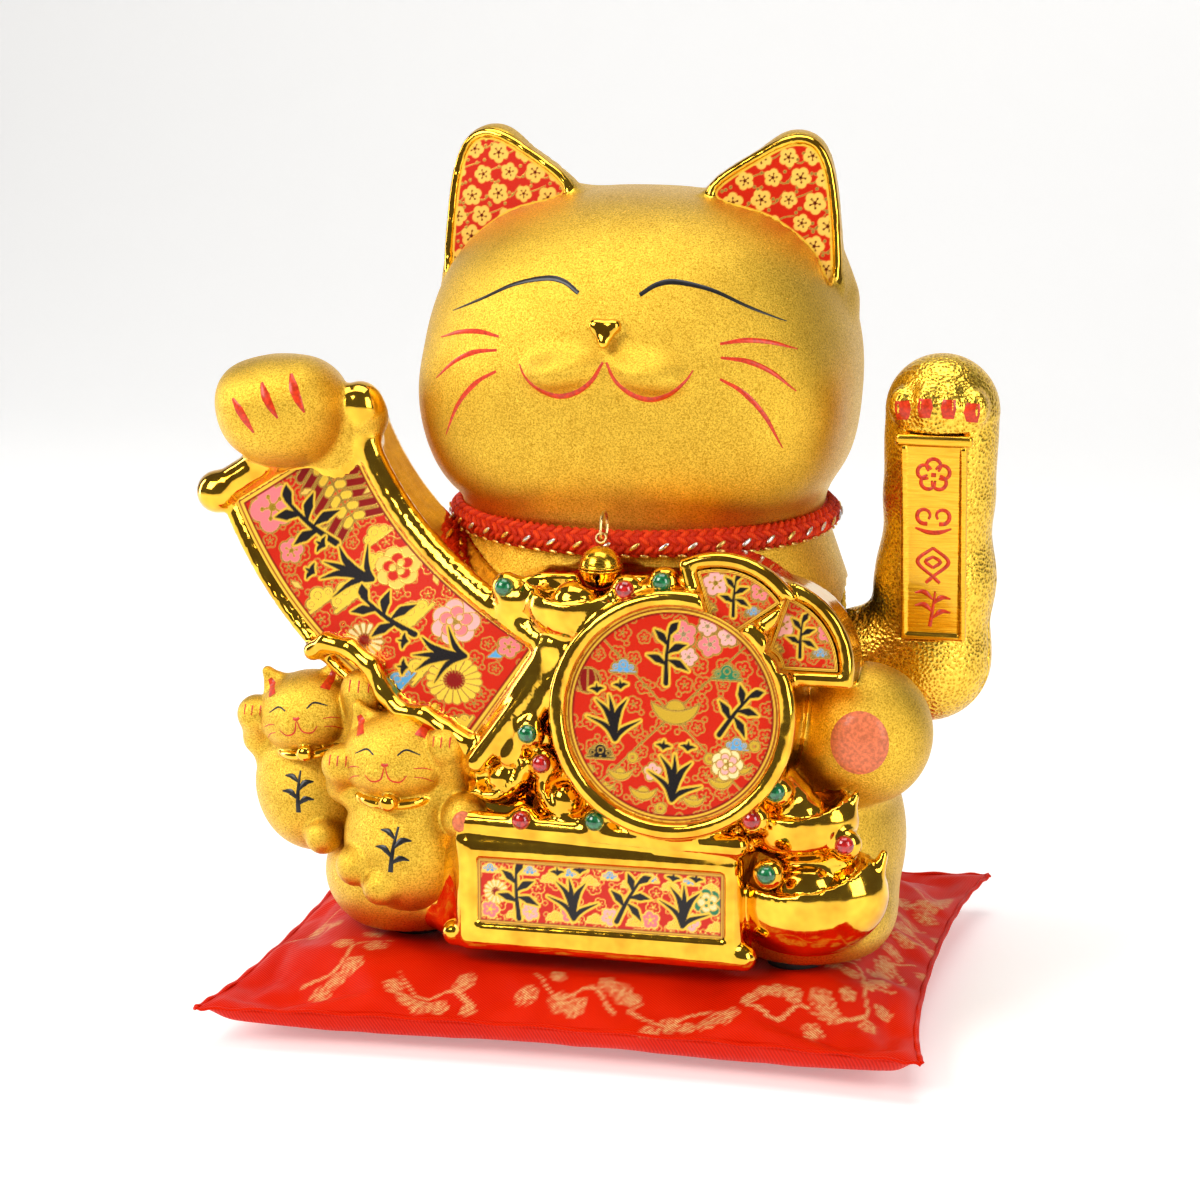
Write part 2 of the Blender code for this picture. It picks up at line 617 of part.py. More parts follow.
def base_plate():
    """The moulded plate that closes the underside, with the battery housing standing on it."""
    shape = bmesh.new()
    add_turned(shape, ((0, PLATE_Z), (1, PLATE_Z), (1, PLATE_TOP), (0, PLATE_TOP)),
               Matrix.Diagonal((*PLATE, 1, 1)), 32)
    obj = new_object("base_plate", shape, "black_plastic")
    block = bmesh.new()
    add_box(block, (HOUSING_X[0], -HOUSING_HALF_Y, PLATE_Z + 0.001),
            (HOUSING_X[1], HOUSING_HALF_Y, HOUSING_TOP))
    boolean(obj, new_object("housing_block", block), "UNION")
    for side in (-1, 1):
        rail = bmesh.new()
        outer, lip = side * (DOOR_HALF_Y + 0.0018), side * (DOOR_HALF_Y - 0.0008)
        add_box(rail, (DOOR_X[0], min(side * (DOOR_HALF_Y + GAP), outer), 0.0272),
                (DOOR_X[1], max(side * (DOOR_HALF_Y + GAP), outer), PLATE_Z + 0.001))
        boolean(obj, new_object("rail_block", rail), "UNION")
        ledge = bmesh.new()
        add_box(ledge, (DOOR_X[0], min(lip, outer), 0.0272), (DOOR_X[1], max(lip, outer), DOOR_Z[0] - GAP))
        boolean(obj, new_object("ledge_block", ledge), "UNION")
    hollow = bmesh.new()
    add_box(hollow, (HOUSING_X[0] + HOUSING_WALL, -HOUSING_HALF_Y + HOUSING_WALL, PLATE_Z - 0.001),
            (HOUSING_X[1] - HOUSING_WALL, HOUSING_HALF_Y - HOUSING_WALL, HOUSING_TOP - HOUSING_WALL))
    boolean(obj, new_object("housing_hollow", hollow))
    for place in plate_screw_places():
        hole = bmesh.new()
        add_rod(hole, place - Vector((0, 0, 0.01)), place + Vector((0, 0, 0.01)), 0.0017, 12)
        boolean(obj, new_object("plate_hole", hole))
    slot = bmesh.new()
    centre = SWITCH_PLACE.copy()
    add_box(slot, (centre.x - 0.0045, centre.y - 0.0016, PLATE_Z - 0.001),
            (centre.x + 0.0045, centre.y + 0.0016, PLATE_TOP + 0.001))
    boolean(obj, new_object("switch_slot", slot))
    return obj


def screws():
    for number, place in enumerate(plate_screw_places(), 1):
        shape = bmesh.new()
        head = PLATE_Z - GAP
        tip = place.z + 0.0078
        profile = ((0, head - 0.0016), (0.0022, head - 0.0016), (0.0029, head - 0.0008), (0.0029, head),
                   (0.0013, head), (0.0013, tip - 0.001), (0.0006, tip), (0, tip))
        add_turned(shape, profile, Matrix.Translation((place.x, place.y, 0)), 10)
        new_object(f"plate_screw_{number}", shape, "steel", True)


def rubber_feet():
    places = {"front_right": (-0.0700, -0.0600), "front_left": (0.0670, -0.0690),
              "rear_right": (-0.0470, 0.0440), "rear_left": (0.0470, 0.0440)}
    low = CUSHION_TOP + GAP
    for name, (x, y) in places.items():
        shape = bmesh.new()
        add_turned(shape, ((0, low), (0.0092, low), (0.0100, low + 0.0008), (0.0100, low + FOOT_HEIGHT),
                           (0, low + FOOT_HEIGHT)), Matrix.Translation((x, y, 0)), 20)
        new_object("rubber_foot_" + name, shape, "rubber", True)


def batteries():
    middle = (HOUSING_X[0] + HOUSING_X[1]) / 2
    half = CELL_LENGTH / 2
    for number, side in ((1, -1), (2, 1)):
        shape = bmesh.new()
        flip = Matrix.Rotation(math.pi / 2 * side, 4, "Y")
        place = Matrix.Translation((middle + CELL_SHIFT * side, side * 0.0079, CELL_Z)) @ flip
        shoulder = half - CELL_BUTTON[1]
        profile = ((0, -half), (CELL_R * 0.8, -half), (CELL_R, -half + 0.0008), (CELL_R, half - 0.0020),
                   (CELL_R * 0.85, shoulder), (CELL_BUTTON[0], shoulder), (CELL_BUTTON[0], half), (0, half))
        add_turned(shape, profile, place, 16)
        new_object(f"battery_{number}", shape, "cell_wrap", True)
        battery_contacts(number, side, middle, half)


def battery_contacts(number, side, middle, half):
    """A conical spring at each cell's flat end, and a flat plate at its button end."""
    spring_x = middle - side * (half - CELL_SHIFT + GAP)
    points = []
    turns, steps = 2.5, 10
    for i in range(int(turns * steps) + 1):
        share = i / (turns * steps)
        angle = 2 * math.pi * turns * share
        radius = 0.0028 + 0.0022 * share
        points.append((spring_x - side * (0.0004 + 0.0031 * share), side * 0.0079 + radius * math.cos(angle),
                       CELL_Z + radius * math.sin(angle)))
    lead = wire(f"contact_spring_{number}", points, 0.00035, "steel")
    lead.data.resolution_u = 1
    lead.data.bevel_resolution = 0
    plate = bmesh.new()
    face = middle + side * (CELL_SHIFT + half + GAP)
    add_box(plate, (min(face, face + side * 0.0006), side * 0.0079 - 0.0055, CELL_Z - 0.0050),
            (max(face, face + side * 0.0006), side * 0.0079 + 0.0055, CELL_Z + 0.0050))
    new_object(f"contact_plate_{number}", plate, "steel")


def battery_door():
    shape = bmesh.new()
    add_box(shape, (DOOR_X[0], -DOOR_HALF_Y, DOOR_Z[0]), (DOOR_X[1], DOOR_HALF_Y, DOOR_Z[1]))
    obj = new_object("battery_door", shape, "black_plastic")
    for step in range(4):
        groove = bmesh.new()
        x = 0.0000 + step * 0.0024
        add_box(groove, (x, -0.008, DOOR_Z[0] - 0.001), (x + 0.0010, 0.008, DOOR_Z[0] + 0.0005))
        boolean(obj, new_object("grip_cut", groove))
    return obj


def power_switch():
    centre = SWITCH_PLACE
    shape = bmesh.new()
    low = PLATE_TOP + GAP
    add_box(shape, (centre.x - 0.0085, centre.y - 0.0045, low),
            (centre.x + 0.0085, centre.y + 0.0045, low + 0.0070))
    body = new_object("switch_body", shape, "steel")
    hollow = bmesh.new()
    add_box(hollow, (centre.x - 0.0060, centre.y - 0.0022, low - 0.001),
            (centre.x + 0.0060, centre.y + 0.0022, low + 0.0045))
    boolean(body, new_object("switch_hollow", hollow))
    shape = bmesh.new()
    start = centre.x - SWITCH_TRAVEL / 2
    add_box(shape, (start - 0.0018, centre.y - 0.0012, 0.0284),
            (start + 0.0018, centre.y + 0.0012, low + 0.0036))
    new_object("switch_knob", shape, "black_plastic")


def dc_socket():
    shape = bmesh.new()
    flip = Matrix.Translation(SOCKET_PLACE) @ Matrix.Rotation(-math.pi / 2, 4, "X")
    add_turned(shape, ((0.0031, 0.0018), (0.0070, 0.0018), (0.0070, GAP), (0.0054, GAP), (0.0054, -0.0125),
                       (0, -0.0125), (0, -0.0100), (0.0031, -0.0100)), flip, 16)
    return new_object("dc_socket", shape, "black_plastic", True)


# ---------------------------------------------------------------- the swing mechanism
def mechanism_frame():
    """A foot plate on the base plate, with two ears that carry the axle's bushes."""
    low = PLATE_TOP + GAP
    shape = bmesh.new()
    add_box(shape, (EARS_X[0][0] - 0.006, -0.0150, low), (EARS_X[1][1], 0.0150, low + 0.0024))
    obj = new_object("mechanism_frame", shape, "white_plastic")
    for near, far in EARS_X:
        ear = bmesh.new()
        outline = [(-0.0120, low + 0.0010), (0.0120, low + 0.0010)]
        outline += [(EAR_TOP_R * math.cos(a), PIVOT_Z + EAR_TOP_R * math.sin(a))
                    for a in [math.pi * i / 8 for i in range(9)]]
        ends = [[ear.verts.new((x, y, z)) for y, z in outline] for x in (near, far)]
        for end in ends:
            ear.faces.new(end)
        for i in range(len(outline)):
            after = (i + 1) % len(outline)
            ear.faces.new((ends[0][i], ends[0][after], ends[1][after], ends[1][i]))
        boolean(obj, new_object("ear_block", ear), "UNION")
    tie = bmesh.new()
    add_box(tie, (EARS_X[0][0] + 0.001, -0.005, PIVOT_Z + 0.0085),
            (EARS_X[1][1] - 0.001, 0.005, PIVOT_Z + 0.0108))
    boolean(obj, new_object("tie_block", tie), "UNION")
    bore = bmesh.new()
    add_rod(bore, (0.020, 0, PIVOT_Z), (0.065, 0, PIVOT_Z), 0.0050 + GAP, 24)
    boolean(obj, new_object("ear_bore", bore))
    for y in (-0.0105, 0.0105):
        hole = bmesh.new()
        add_rod(hole, (0.0260, y, low - 0.001), (0.0260, y, low + 0.004), 0.0016, 12)
        boolean(obj, new_object("frame_hole", hole))
    return obj


def frame_screws():
    low = PLATE_TOP + GAP + 0.0024 + GAP
    for number, y in ((1, -0.0105), (2, 0.0105)):
        shape = bmesh.new()
        add_turned(shape, ((0, low - 0.0024), (0.0012, low - 0.0024), (0.0012, low), (0.0026, low),
                           (0.0026, low + 0.0010), (0.0018, low + 0.0018), (0, low + 0.0018)),
                   Matrix.Translation((0.0260, y, 0)), 10)
        new_object(f"frame_screw_{number}", shape, "steel", True)


def on_axle(x):
    """A frame on the axle at x, its Z axis pointing along +X."""
    return Matrix.Translation((x, 0, PIVOT_Z)) @ Matrix.Rotation(math.pi / 2, 4, "Y")


def bushes():
    """Flanged plastic bushes pressed into the ears; their flanges face each other's outer sides."""
    bore = AXLE_R + 0.00010
    for name, near, way in (("inner", EARS_X[0][0], -1), ("outer", EARS_X[1][1], 1)):
        shape = bmesh.new()
        depth, barrel, flange, flange_top = 0.0034, 0.0050, 0.0068, 0.0013
        profile = ((bore, -depth), (barrel, -depth), (barrel, GAP), (flange, GAP), (flange, flange_top),
                   (bore, flange_top))
        frame = on_axle(near)
        if way < 0:
            frame = frame @ Matrix.Rotation(math.pi, 4, "X")
        add_turned(shape, profile, frame, 20)
        new_object("axle_bush_" + name, shape, "white_plastic", True)


def axle():
    shape = bmesh.new()
    start, end = AXLE_X
    clip = 0.0258
    add_turned(shape, ((0, start), (AXLE_R, start), (AXLE_R, clip), (0.0024, clip), (0.0024, clip + 0.0011),
                       (AXLE_R, clip + 0.0011), (AXLE_R, end), (0, end)),
               Matrix.Translation((0, 0, PIVOT_Z)) @ Matrix.Rotation(math.pi / 2, 4, "Y"), 20)
    new_object("axle", shape, "steel", True)
    shape = bmesh.new()
    points = [(radius, angle) for radius in (0.0051, 0.0027) for angle in range(11)]
    outline = []
    for radius, step in points[:11] + points[11:][::-1]:
        angle = math.radians(40) + math.radians(280) * step / 10
        outline.append((radius * math.cos(angle), radius * math.sin(angle)))
    add_prism(shape, outline, on_axle(clip), 0.0002, 0.0009)
    new_object("axle_clip", shape, "steel")


def pendulum():
    """The lever that hangs from the axle, with its counterweight and the magnet at its foot."""
    x = PENDULUM_X
    shape = bmesh.new()
    add_rod(shape, (x - 0.0070, 0, PIVOT_Z), (x + 0.0070, 0, PIVOT_Z), 0.0075, 20)
    lever = new_object("pendulum_lever", shape, "white_plastic")
    bar = bmesh.new()
    add_box(bar, (x - 0.0025, -0.0040, 0.0545), (x + 0.0025, 0.0040, PIVOT_Z - 0.005))
    boolean(lever, new_object("lever_bar", bar), "UNION")
    eye = bmesh.new()
    add_rod(eye, (x - 0.0025, 0, 0.0720), (x + 0.0025, 0, 0.0720), 0.0095, 20)
    boolean(lever, new_object("lever_eye", eye), "UNION")
    cup = bmesh.new()
    add_rod(cup, (x, 0, 0.0505), (x, 0, 0.0560), 0.0078, 20)
    boolean(lever, new_object("lever_cup", cup), "UNION")
    for name, start, end, radius in (
            ("axle_bore", (x - 0.02, 0, PIVOT_Z), (x + 0.02, 0, PIVOT_Z), AXLE_R + GAP),
            ("weight_bore", (x - 0.02, 0, 0.0720), (x + 0.02, 0, 0.0720), 0.0065 + GAP),
            ("magnet_bore", (x, 0, 0.0480), (x, 0, 0.0535), 0.0060 + GAP)):
        hole = bmesh.new()
        add_rod(hole, start, end, radius, 20)
        boolean(lever, new_object(name, hole))
    shape = bmesh.new()
    add_rod(shape, (x - 0.0085, 0, 0.0720), (x + 0.0085, 0, 0.0720), 0.0065, 20)
    new_object("counterweight", shape, "steel", True)
    shape = bmesh.new()
    add_rod(shape, (x, 0, 0.0492), (x, 0, 0.0532), 0.0060, 20)
    new_object("pendulum_magnet", shape, "steel", True)


def drive_coil():
    """A bobbin of fine copper wire that stands on the frame's foot under the magnet."""
    low = PLATE_TOP + GAP + 0.0024 + GAP
    place = Matrix.Translation((PENDULUM_X, 0, low))
    high = 0.0095
    shape = bmesh.new()
    add_turned(shape, ((0.0020, 0), (0.0098, 0), (0.0098, 0.0010), (0.0040, 0.0010), (0.0040, high - 0.0010),
                       (0.0098, high - 0.0010), (0.0098, high), (0.0020, high)), place, 20)
    new_object("coil_bobbin", shape, "black_plastic", True)
    shape = bmesh.new()
    add_turned(shape, ((0.0040 + GAP, 0.0010 + GAP), (0.0090, 0.0010 + GAP), (0.0090, high - 0.0010 - GAP),
                       (0.0040 + GAP, high - 0.0010 - GAP)), place, 20)
    new_object("coil_winding", shape, "copper", True)


def electronics():
    """The drive board, on edge behind the battery housing, with its chip and capacitor, and the leads."""
    low, near = PLATE_TOP + GAP, 0.0230
    shape = bmesh.new()
    add_box(shape, (-0.0420, near, low), (-0.0020, near + 0.0016, low + 0.0220))
    new_object("circuit_board", shape, "board_green")
    shape = bmesh.new()
    face = near + 0.0016 + GAP
    add_box(shape, (-0.0360, face, low + 0.0090), (-0.0290, face + 0.0018, low + 0.0150))
    new_object("driver_chip", shape, "black_plastic")
    shape = bmesh.new()
    add_rod(shape, (-0.0150, face, low + 0.0120), (-0.0150, face + 0.0080, low + 0.0120), 0.0032, 20)
    new_object("capacitor", shape, "black_plastic", True)
    top = low + 0.0200
    wire("coil_lead", ((-0.0030, near - 0.0014, top), (0.0080, 0.0220, top + 0.006), (0.0200, 0.0230, 0.0560),
                       (0.0340, 0.0200, 0.0480), (0.0425, 0.0130, 0.0410)), 0.0008, "wire_red")
    wire("switch_lead", ((-0.0150, near - 0.0014, top), (0.0000, 0.0100, 0.0590), (0.0190, -0.0180, 0.0550),
                         (0.0300, -0.0270, 0.0440)), 0.0008, "wire_red")
    wire("socket_lead", ((-0.0300, 0.0470, 0.0500), (-0.0300, 0.0400, 0.0510), (-0.0260, 0.0330, 0.0530),
                         (-0.0220, face + 0.0012, 0.0500)), 0.0008, "wire_red")


# ---------------------------------------------------------------- the swinging arm
def arm_skin(name, inset):
    shape = bmesh.new()
    balls = [(x, y, z, radius - inset) for x, y, z, radius in ARM_BALLS]
    if inset:
        balls[0] = (0.060, 0.0, 0.1165, balls[0][3])
    add_chain(shape, balls, ARM_DEPTH_RATIO, 16)
    made = new_object(name, shape)
    fuse(made, 0.0020, 3, 0.045 if not inset else 0.030)
    return made


def arm_shells():
    """The arm's two moulded halves, front and back, hollow and open at the root."""
    for name, low, high in (("arm_front_shell", -0.1, ARM_SPLIT_Y - GAP / 2),
                            ("arm_back_shell", ARM_SPLIT_Y + GAP / 2, 0.1)):
        shape = bmesh.new()
        add_box(shape, (0.066, low, 0.05), (0.2, high, 0.3))
        obj = new_object(name, shape, "arm_gold")
        boolean(obj, arm_skin(name + "_skin", 0.0), "INTERSECT")
        boolean(obj, arm_skin(name + "_hollow", ARM_WALL))
        if name == "arm_front_shell":
            pocket = bmesh.new()
            add_prism(pocket, rectangle(0.0139, -0.0369, 0.0379), ARM_PLATE, 0.0, 0.010)
            boolean(obj, new_object("plate_pocket", pocket))
        else:
            hole = bmesh.new()
            add_rod(hole, ARM_SCREW - Vector((0, 0.010, 0)), ARM_SCREW + Vector((0, 0.010, 0)), 0.0016, 12)
            boolean(obj, new_object("arm_hole", hole))
            recess = bmesh.new()
            add_rod(recess, ARM_SCREW, ARM_SCREW + Vector((0, 0.010, 0)), 0.0032, 16)
            boolean(obj, new_object("arm_screw_recess", recess))


ARM_PLATE = plane((0.1060, -0.0213, 0.1660), 0.0, math.radians(-5))
PLATE_OUTLINE = ((-0.0115, -0.0365), (0.0115, -0.0365), (0.0115, 0.0330), (0.0135, 0.0335), (0.0135, 0.0375),
                 (-0.0135, 0.0375), (-0.0135, 0.0335), (-0.0115, 0.0330))
ARM_SCREW = Vector((0.0765, 0.0148, PIVOT_Z))


def arm_fittings():
    """The name plate on the arm's front, the hub plug on the axle's end, and the screws that hold it."""
    shape = bmesh.new()
    add_prism(shape, PLATE_OUTLINE, ARM_PLATE, GAP, 0.0030)
    new_object("arm_plate", shape, "bright_gold")
    shape = bmesh.new()
    add_turned(shape, ((AXLE_R + GAP, 0), (0.0085, 0), (0.0085, 0.0120), (0.0120, 0.0120), (0.0120, 0.0185),
                       (AXLE_R + GAP, 0.0185)), on_axle(0.0612), 20)
    hub = new_object("arm_hub", shape, "black_plastic", True)
    pilot = bmesh.new()
    add_rod(pilot, ARM_SCREW - Vector((0, 0.0090, 0)), ARM_SCREW, 0.0014, 12)
    boolean(hub, new_object("pilot_cut", pilot))
    shape = bmesh.new()
    add_turned(shape, ((0, -0.0080), (0.0011, -0.0080), (0.0011, GAP), (0.0027, GAP), (0.0027, 0.0010),
                       (0.0019, 0.0017), (0, 0.0017)),
               Matrix.Translation(ARM_SCREW) @ Matrix.Rotation(-math.pi / 2, 4, "X"), 10)
    new_object("arm_screw", shape, "steel", True)
    shape = bmesh.new()
    add_turned(shape, ((0, 0.0003), (0.0045, 0.0003), (0.0045, 0.0012), (0.0030, 0.0022), (0, 0.0022)),
               on_axle(AXLE_X[1]), 20)
    new_object("axle_screw", shape, "steel", True)


# ---------------------------------------------------------------- collar and bell
def add_collar_ring(shape, radius, around, section):
    """A closed ring round the neck, of the given section radius."""
    rings = []
    for i in range(around):
        angle = 2 * math.pi * i / around
        way = Vector((math.cos(angle), math.sin(angle), 0))
        centre = Vector((COLLAR_R[0] * way.x, COLLAR_R[1] * way.y - 0.001, NECK_Z))
        ring = []
        for j in range(section):
            turn = 2 * math.pi * j / section
            lift = Vector((0, 0, radius * math.sin(turn)))
            ring.append(shape.verts.new(centre + way * radius * math.cos(turn) + lift))
        rings.append(ring)
    for i in range(around):
        for j in range(section):
            after, over = (i + 1) % around, (j + 1) % section
            shape.faces.new((rings[i][j], rings[after][j], rings[after][over], rings[i][over]))


def add_ring(shape, centre, turn, radius, wire_radius, around, section):
    """A wire ring whose axis is Z before turn."""
    place = Matrix.Translation(centre) @ turn
    profile = [(radius + x, z) for x, z in circle(wire_radius, section)]
    add_turned(shape, profile, place, around)


def collar():
    """The braided cord round the neck, joined at the back."""
    shape = bmesh.new()
    add_collar_ring(shape, CORD_R, 32, 8)
    cord = new_object("collar_cord", shape, "cord_red", True)
    thread = bmesh.new()
    add_ring(thread, RING_CENTRE, RING_TURN, RING_R, RING_WIRE + GAP, 20, 6)
    boolean(cord, new_object("ring_tunnel", thread))
    shape = bmesh.new()
    add_ring(shape, RING_CENTRE, RING_TURN, RING_R, RING_WIRE, 20, 6)
    new_object("collar_ring", shape, "brass", True)


def bell():
    """Two pressed half shells with a slot below, a loop above, a ring on the cord and the pellet inside."""
    seam = 0.00015
    centre = Matrix.Translation(BELL_CENTRE)
    inner = BELL_R - 0.0007
    steps = 4
    for name, way in (("bell_upper_half", 1), ("bell_lower_half", -1)):
        quarter = [math.pi / 2 * i / steps for i in range(steps + 1)]
        outer = [(BELL_R * math.cos(a), BELL_R * math.sin(a)) for a in quarter]
        under = [(inner * math.cos(a), inner * math.sin(a)) for a in reversed(quarter)]
        profile = [(max(0.0, r) if r > 1e-6 else 0, way * (z + seam)) for r, z in outer + under]
        shape = bmesh.new()
        add_turned(shape, profile, centre, 18)
        obj = new_object(name, shape, "brass", True)
        if way < 0:
            slot = bmesh.new()
            add_box(slot, BELL_CENTRE + Vector((-0.0005, -0.009, -0.009)),
                    BELL_CENTRE + Vector((0.0005, 0.009, -0.0018)))
            boolean(obj, new_object("bell_slot", slot))
    shape = bmesh.new()
    add_ring(shape, LOOP_CENTRE, Matrix.Rotation(LOOP_TILT, 4, "X"), LOOP_R, LOOP_WIRE, 14, 6)
    new_object("bell_loop", shape, "brass", True)
    shape = bmesh.new()
    add_ellipsoid(shape, BELL_CENTRE + Vector((0, 0, -0.0042)), (0.0019,) * 3, None, 10, 6)
    new_object("bell_pellet", shape, "steel", True)


# ---------------------------------------------------------------- cushion
def rise(t):
    """1 over the cushion's flat middle, falling to 0 at its seam."""
    beyond = max(0.0, (abs(t) - CUSHION_FLAT) / (1 - CUSHION_FLAT))
    return max(0.0, 1 - beyond ** 3) ** 0.55


def cushion_surface(u, v, inset):
    """Upper and lower points of the cushion at (u, v), each from -1 to 1, less inset."""
    pull = 0.030
    x = CUSHION_CENTRE[0] + (CUSHION_HALF[0] - inset) * u * (1 - pull * (1 - v * v))
    y = CUSHION_CENTRE[1] + (CUSHION_HALF[1] - inset) * v * (1 - pull * (1 - u * u))
    fall = rise(u) * rise(v)
    top = CUSHION_SEAM_Z + (CUSHION_TOP - inset - CUSHION_SEAM_Z) * fall
    bottom = CUSHION_SEAM_Z - (CUSHION_SEAM_Z - inset) * fall
    return Vector((x, y, top)), Vector((x, y, bottom))


def add_pillow(shape, steps, inset):
    """A closed pillow on a grid that is finer towards its edges, joined along its seam."""
    line = [math.sin(math.pi / 2 * (2 * i / steps - 1)) for i in range(steps + 1)]
    upper, lower = {}, {}
    for i, u in enumerate(line):
        for j, v in enumerate(line):
            top, bottom = cushion_surface(u, v, inset)
            upper[i, j] = shape.verts.new(top)
            on_seam = i in (0, steps) or j in (0, steps)
            lower[i, j] = upper[i, j] if on_seam else shape.verts.new(bottom)
    for i in range(steps):
        for j in range(steps):
            ring = ((i, j), (i + 1, j), (i + 1, j + 1), (i, j + 1))
            shape.faces.new([upper[k] for k in ring])
            shape.faces.new([lower[k] for k in reversed(ring)])


def cushion():
    """A sewn cover with a short opening in its back seam, and its filling."""
    shape = bmesh.new()
    add_pillow(shape, 10, 0.0)
    cover = new_object("cushion_cover", shape, "brocade")
    hollow = bmesh.new()
    add_pillow(hollow, 10, COVER_THICK)
    boolean(cover, new_object("cover_hollow", hollow))
    slit = bmesh.new()
    back = CUSHION_CENTRE[1] + CUSHION_HALF[1]
    add_box(slit, (-0.030, back - 0.012, CUSHION_SEAM_Z - 0.0008),
            (0.020, back + 0.01, CUSHION_SEAM_Z + 0.0008))
    boolean(cover, new_object("cover_slit", slit))
    shape = bmesh.new()
    add_pillow(shape, 10, COVER_THICK + 0.0030)
    new_object("cushion_filling", shape, "filling")


def main():
    clear_scene()
    body_shell()
    decals()
    base_plate()
    screws()
    rubber_feet()
    batteries()
    battery_door()
    power_switch()
    dc_socket()
    mechanism_frame()
    frame_screws()
    bushes()
    axle()
    pendulum()
    drive_coil()
    electronics()
    arm_shells()
    arm_fittings()
    collar()
    bell()
    cushion()


main()
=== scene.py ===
"""Looks of the beckoning cat figurine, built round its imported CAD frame.

The casting, the kittens and the arm are sculpted from soft-edged lumps and meshed; the printed sheets are
painted point by point; the cushion is a sewn cover swollen by a cloth simulation. Sculpting is done in
millimetres and turned into metres when a mesh is made.
"""

import itertools
import json
import math

import bpy
import numpy as np
from mathutils import Matrix, Vector
from mathutils.bvhtree import BVHTree


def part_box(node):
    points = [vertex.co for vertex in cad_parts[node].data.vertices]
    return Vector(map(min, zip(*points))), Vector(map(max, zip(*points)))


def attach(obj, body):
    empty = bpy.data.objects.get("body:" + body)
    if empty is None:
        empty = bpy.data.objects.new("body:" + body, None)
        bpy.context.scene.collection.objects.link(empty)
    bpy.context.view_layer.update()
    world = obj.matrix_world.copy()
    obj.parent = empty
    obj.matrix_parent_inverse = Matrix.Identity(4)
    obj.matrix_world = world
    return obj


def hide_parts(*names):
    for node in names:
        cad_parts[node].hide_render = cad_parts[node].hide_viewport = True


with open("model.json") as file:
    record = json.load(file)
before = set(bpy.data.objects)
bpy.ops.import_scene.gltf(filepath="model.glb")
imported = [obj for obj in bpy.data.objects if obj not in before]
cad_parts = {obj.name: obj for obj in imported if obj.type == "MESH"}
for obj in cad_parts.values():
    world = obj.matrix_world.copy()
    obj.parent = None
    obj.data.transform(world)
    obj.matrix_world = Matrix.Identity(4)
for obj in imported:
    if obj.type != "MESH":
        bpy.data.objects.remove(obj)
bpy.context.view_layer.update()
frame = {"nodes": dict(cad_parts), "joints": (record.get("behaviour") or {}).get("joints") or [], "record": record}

MM = 0.001
FAR = 60.0  # mm: the distance that stands for "nowhere near"
SLOPE_STEP = 0.15  # mm: how far apart two depths are taken to find a slope
SETTLE_ROUNDS = 3  # how often a mesh's points are moved onto the exact surface
SLAB = 24  # grid planes that are worked out together, to save memory
LEVEL = (np.zeros(3), np.eye(3))  # the object's own frame: its origin and its axes as columns


def cad_mm(node):
    """A CAD node's lowest and highest corners, in millimetres."""
    low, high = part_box(node)
    return np.array(low) / MM, np.array(high) / MM


def cad_middle(node):
    low, high = cad_mm(node)
    return (low + high) / 2


# ---------------------------------------------------------------- lumps: signed distances in millimetres
class Lump:
    """A distance function with the box that holds its surface."""

    def __init__(self, distance, low, high):
        self.distance = distance
        self.low = np.array(low, np.float32)
        self.high = np.array(high, np.float32)


def turned(axis, degrees):
    """Axes turned about one of the object's axes."""
    return np.array(Matrix.Rotation(math.radians(degrees), 3, axis))


def ellipsoid(centre, radii, turn=None):
    centre, radii = np.array(centre, float), np.array(radii, float) * np.ones(3)
    turn = np.eye(3) if turn is None else turn

    def distance(points):
        local = (points - centre) @ turn
        near = np.linalg.norm(local / radii, axis=1)
        far = np.linalg.norm(local / radii ** 2, axis=1) + 1e-9
        return near * (near - 1) / far

    reach = np.sqrt(((turn * radii) ** 2).sum(axis=1))
    return Lump(distance, centre - reach, centre + reach)


def superball(centre, radii, power):
    """A rounder or squarer ball: power 2 is an ellipsoid, and higher powers fill its corners."""
    centre, radii = np.array(centre, float), np.array(radii, float)

    def distance(points):
        local = np.abs(points - centre) / radii + 1e-6
        size = (local ** power).sum(axis=1) ** (1 / power)
        slope = ((local ** (power - 1) / radii) ** 2).sum(axis=1) ** 0.5 / size ** (power - 1)
        return (size - 1) / slope

    return Lump(distance, centre - radii, centre + radii)


def limb(a, b, radius_a, radius_b=None):
    """A round-ended cone from a to b."""
    a, b = np.array(a, float), np.array(b, float)
    radius_b = radius_a if radius_b is None else radius_b
    way = b - a
    length2 = way @ way

    def distance(points):
        share = np.clip((points - a) @ way / length2, 0, 1)
        radius = radius_a + (radius_b - radius_a) * share
        return np.linalg.norm(points - a - share[:, None] * way, axis=1) - radius

    reach = np.array([radius_a, radius_b])[:, None]
    ends = np.array([a, b])
    return Lump(distance, (ends - reach).min(axis=0), (ends + reach).max(axis=0))


def block(place, low, high, rounding):
    """A box with round edges, given in its own frame: place is (origin, axes as columns)."""
    origin, axes = place
    middle, half = (np.array(low) + high) / 2, (np.array(high) - low) / 2 - rounding

    def distance(points):
        away = np.abs((points - origin) @ axes - middle) - half
        return np.linalg.norm(np.maximum(away, 0), axis=1) + np.minimum(away.max(axis=1), 0) - rounding

    corners = np.array(list(itertools.product(*zip(low, high)))) @ axes.T + origin
    return Lump(distance, corners.min(axis=0), corners.max(axis=0))


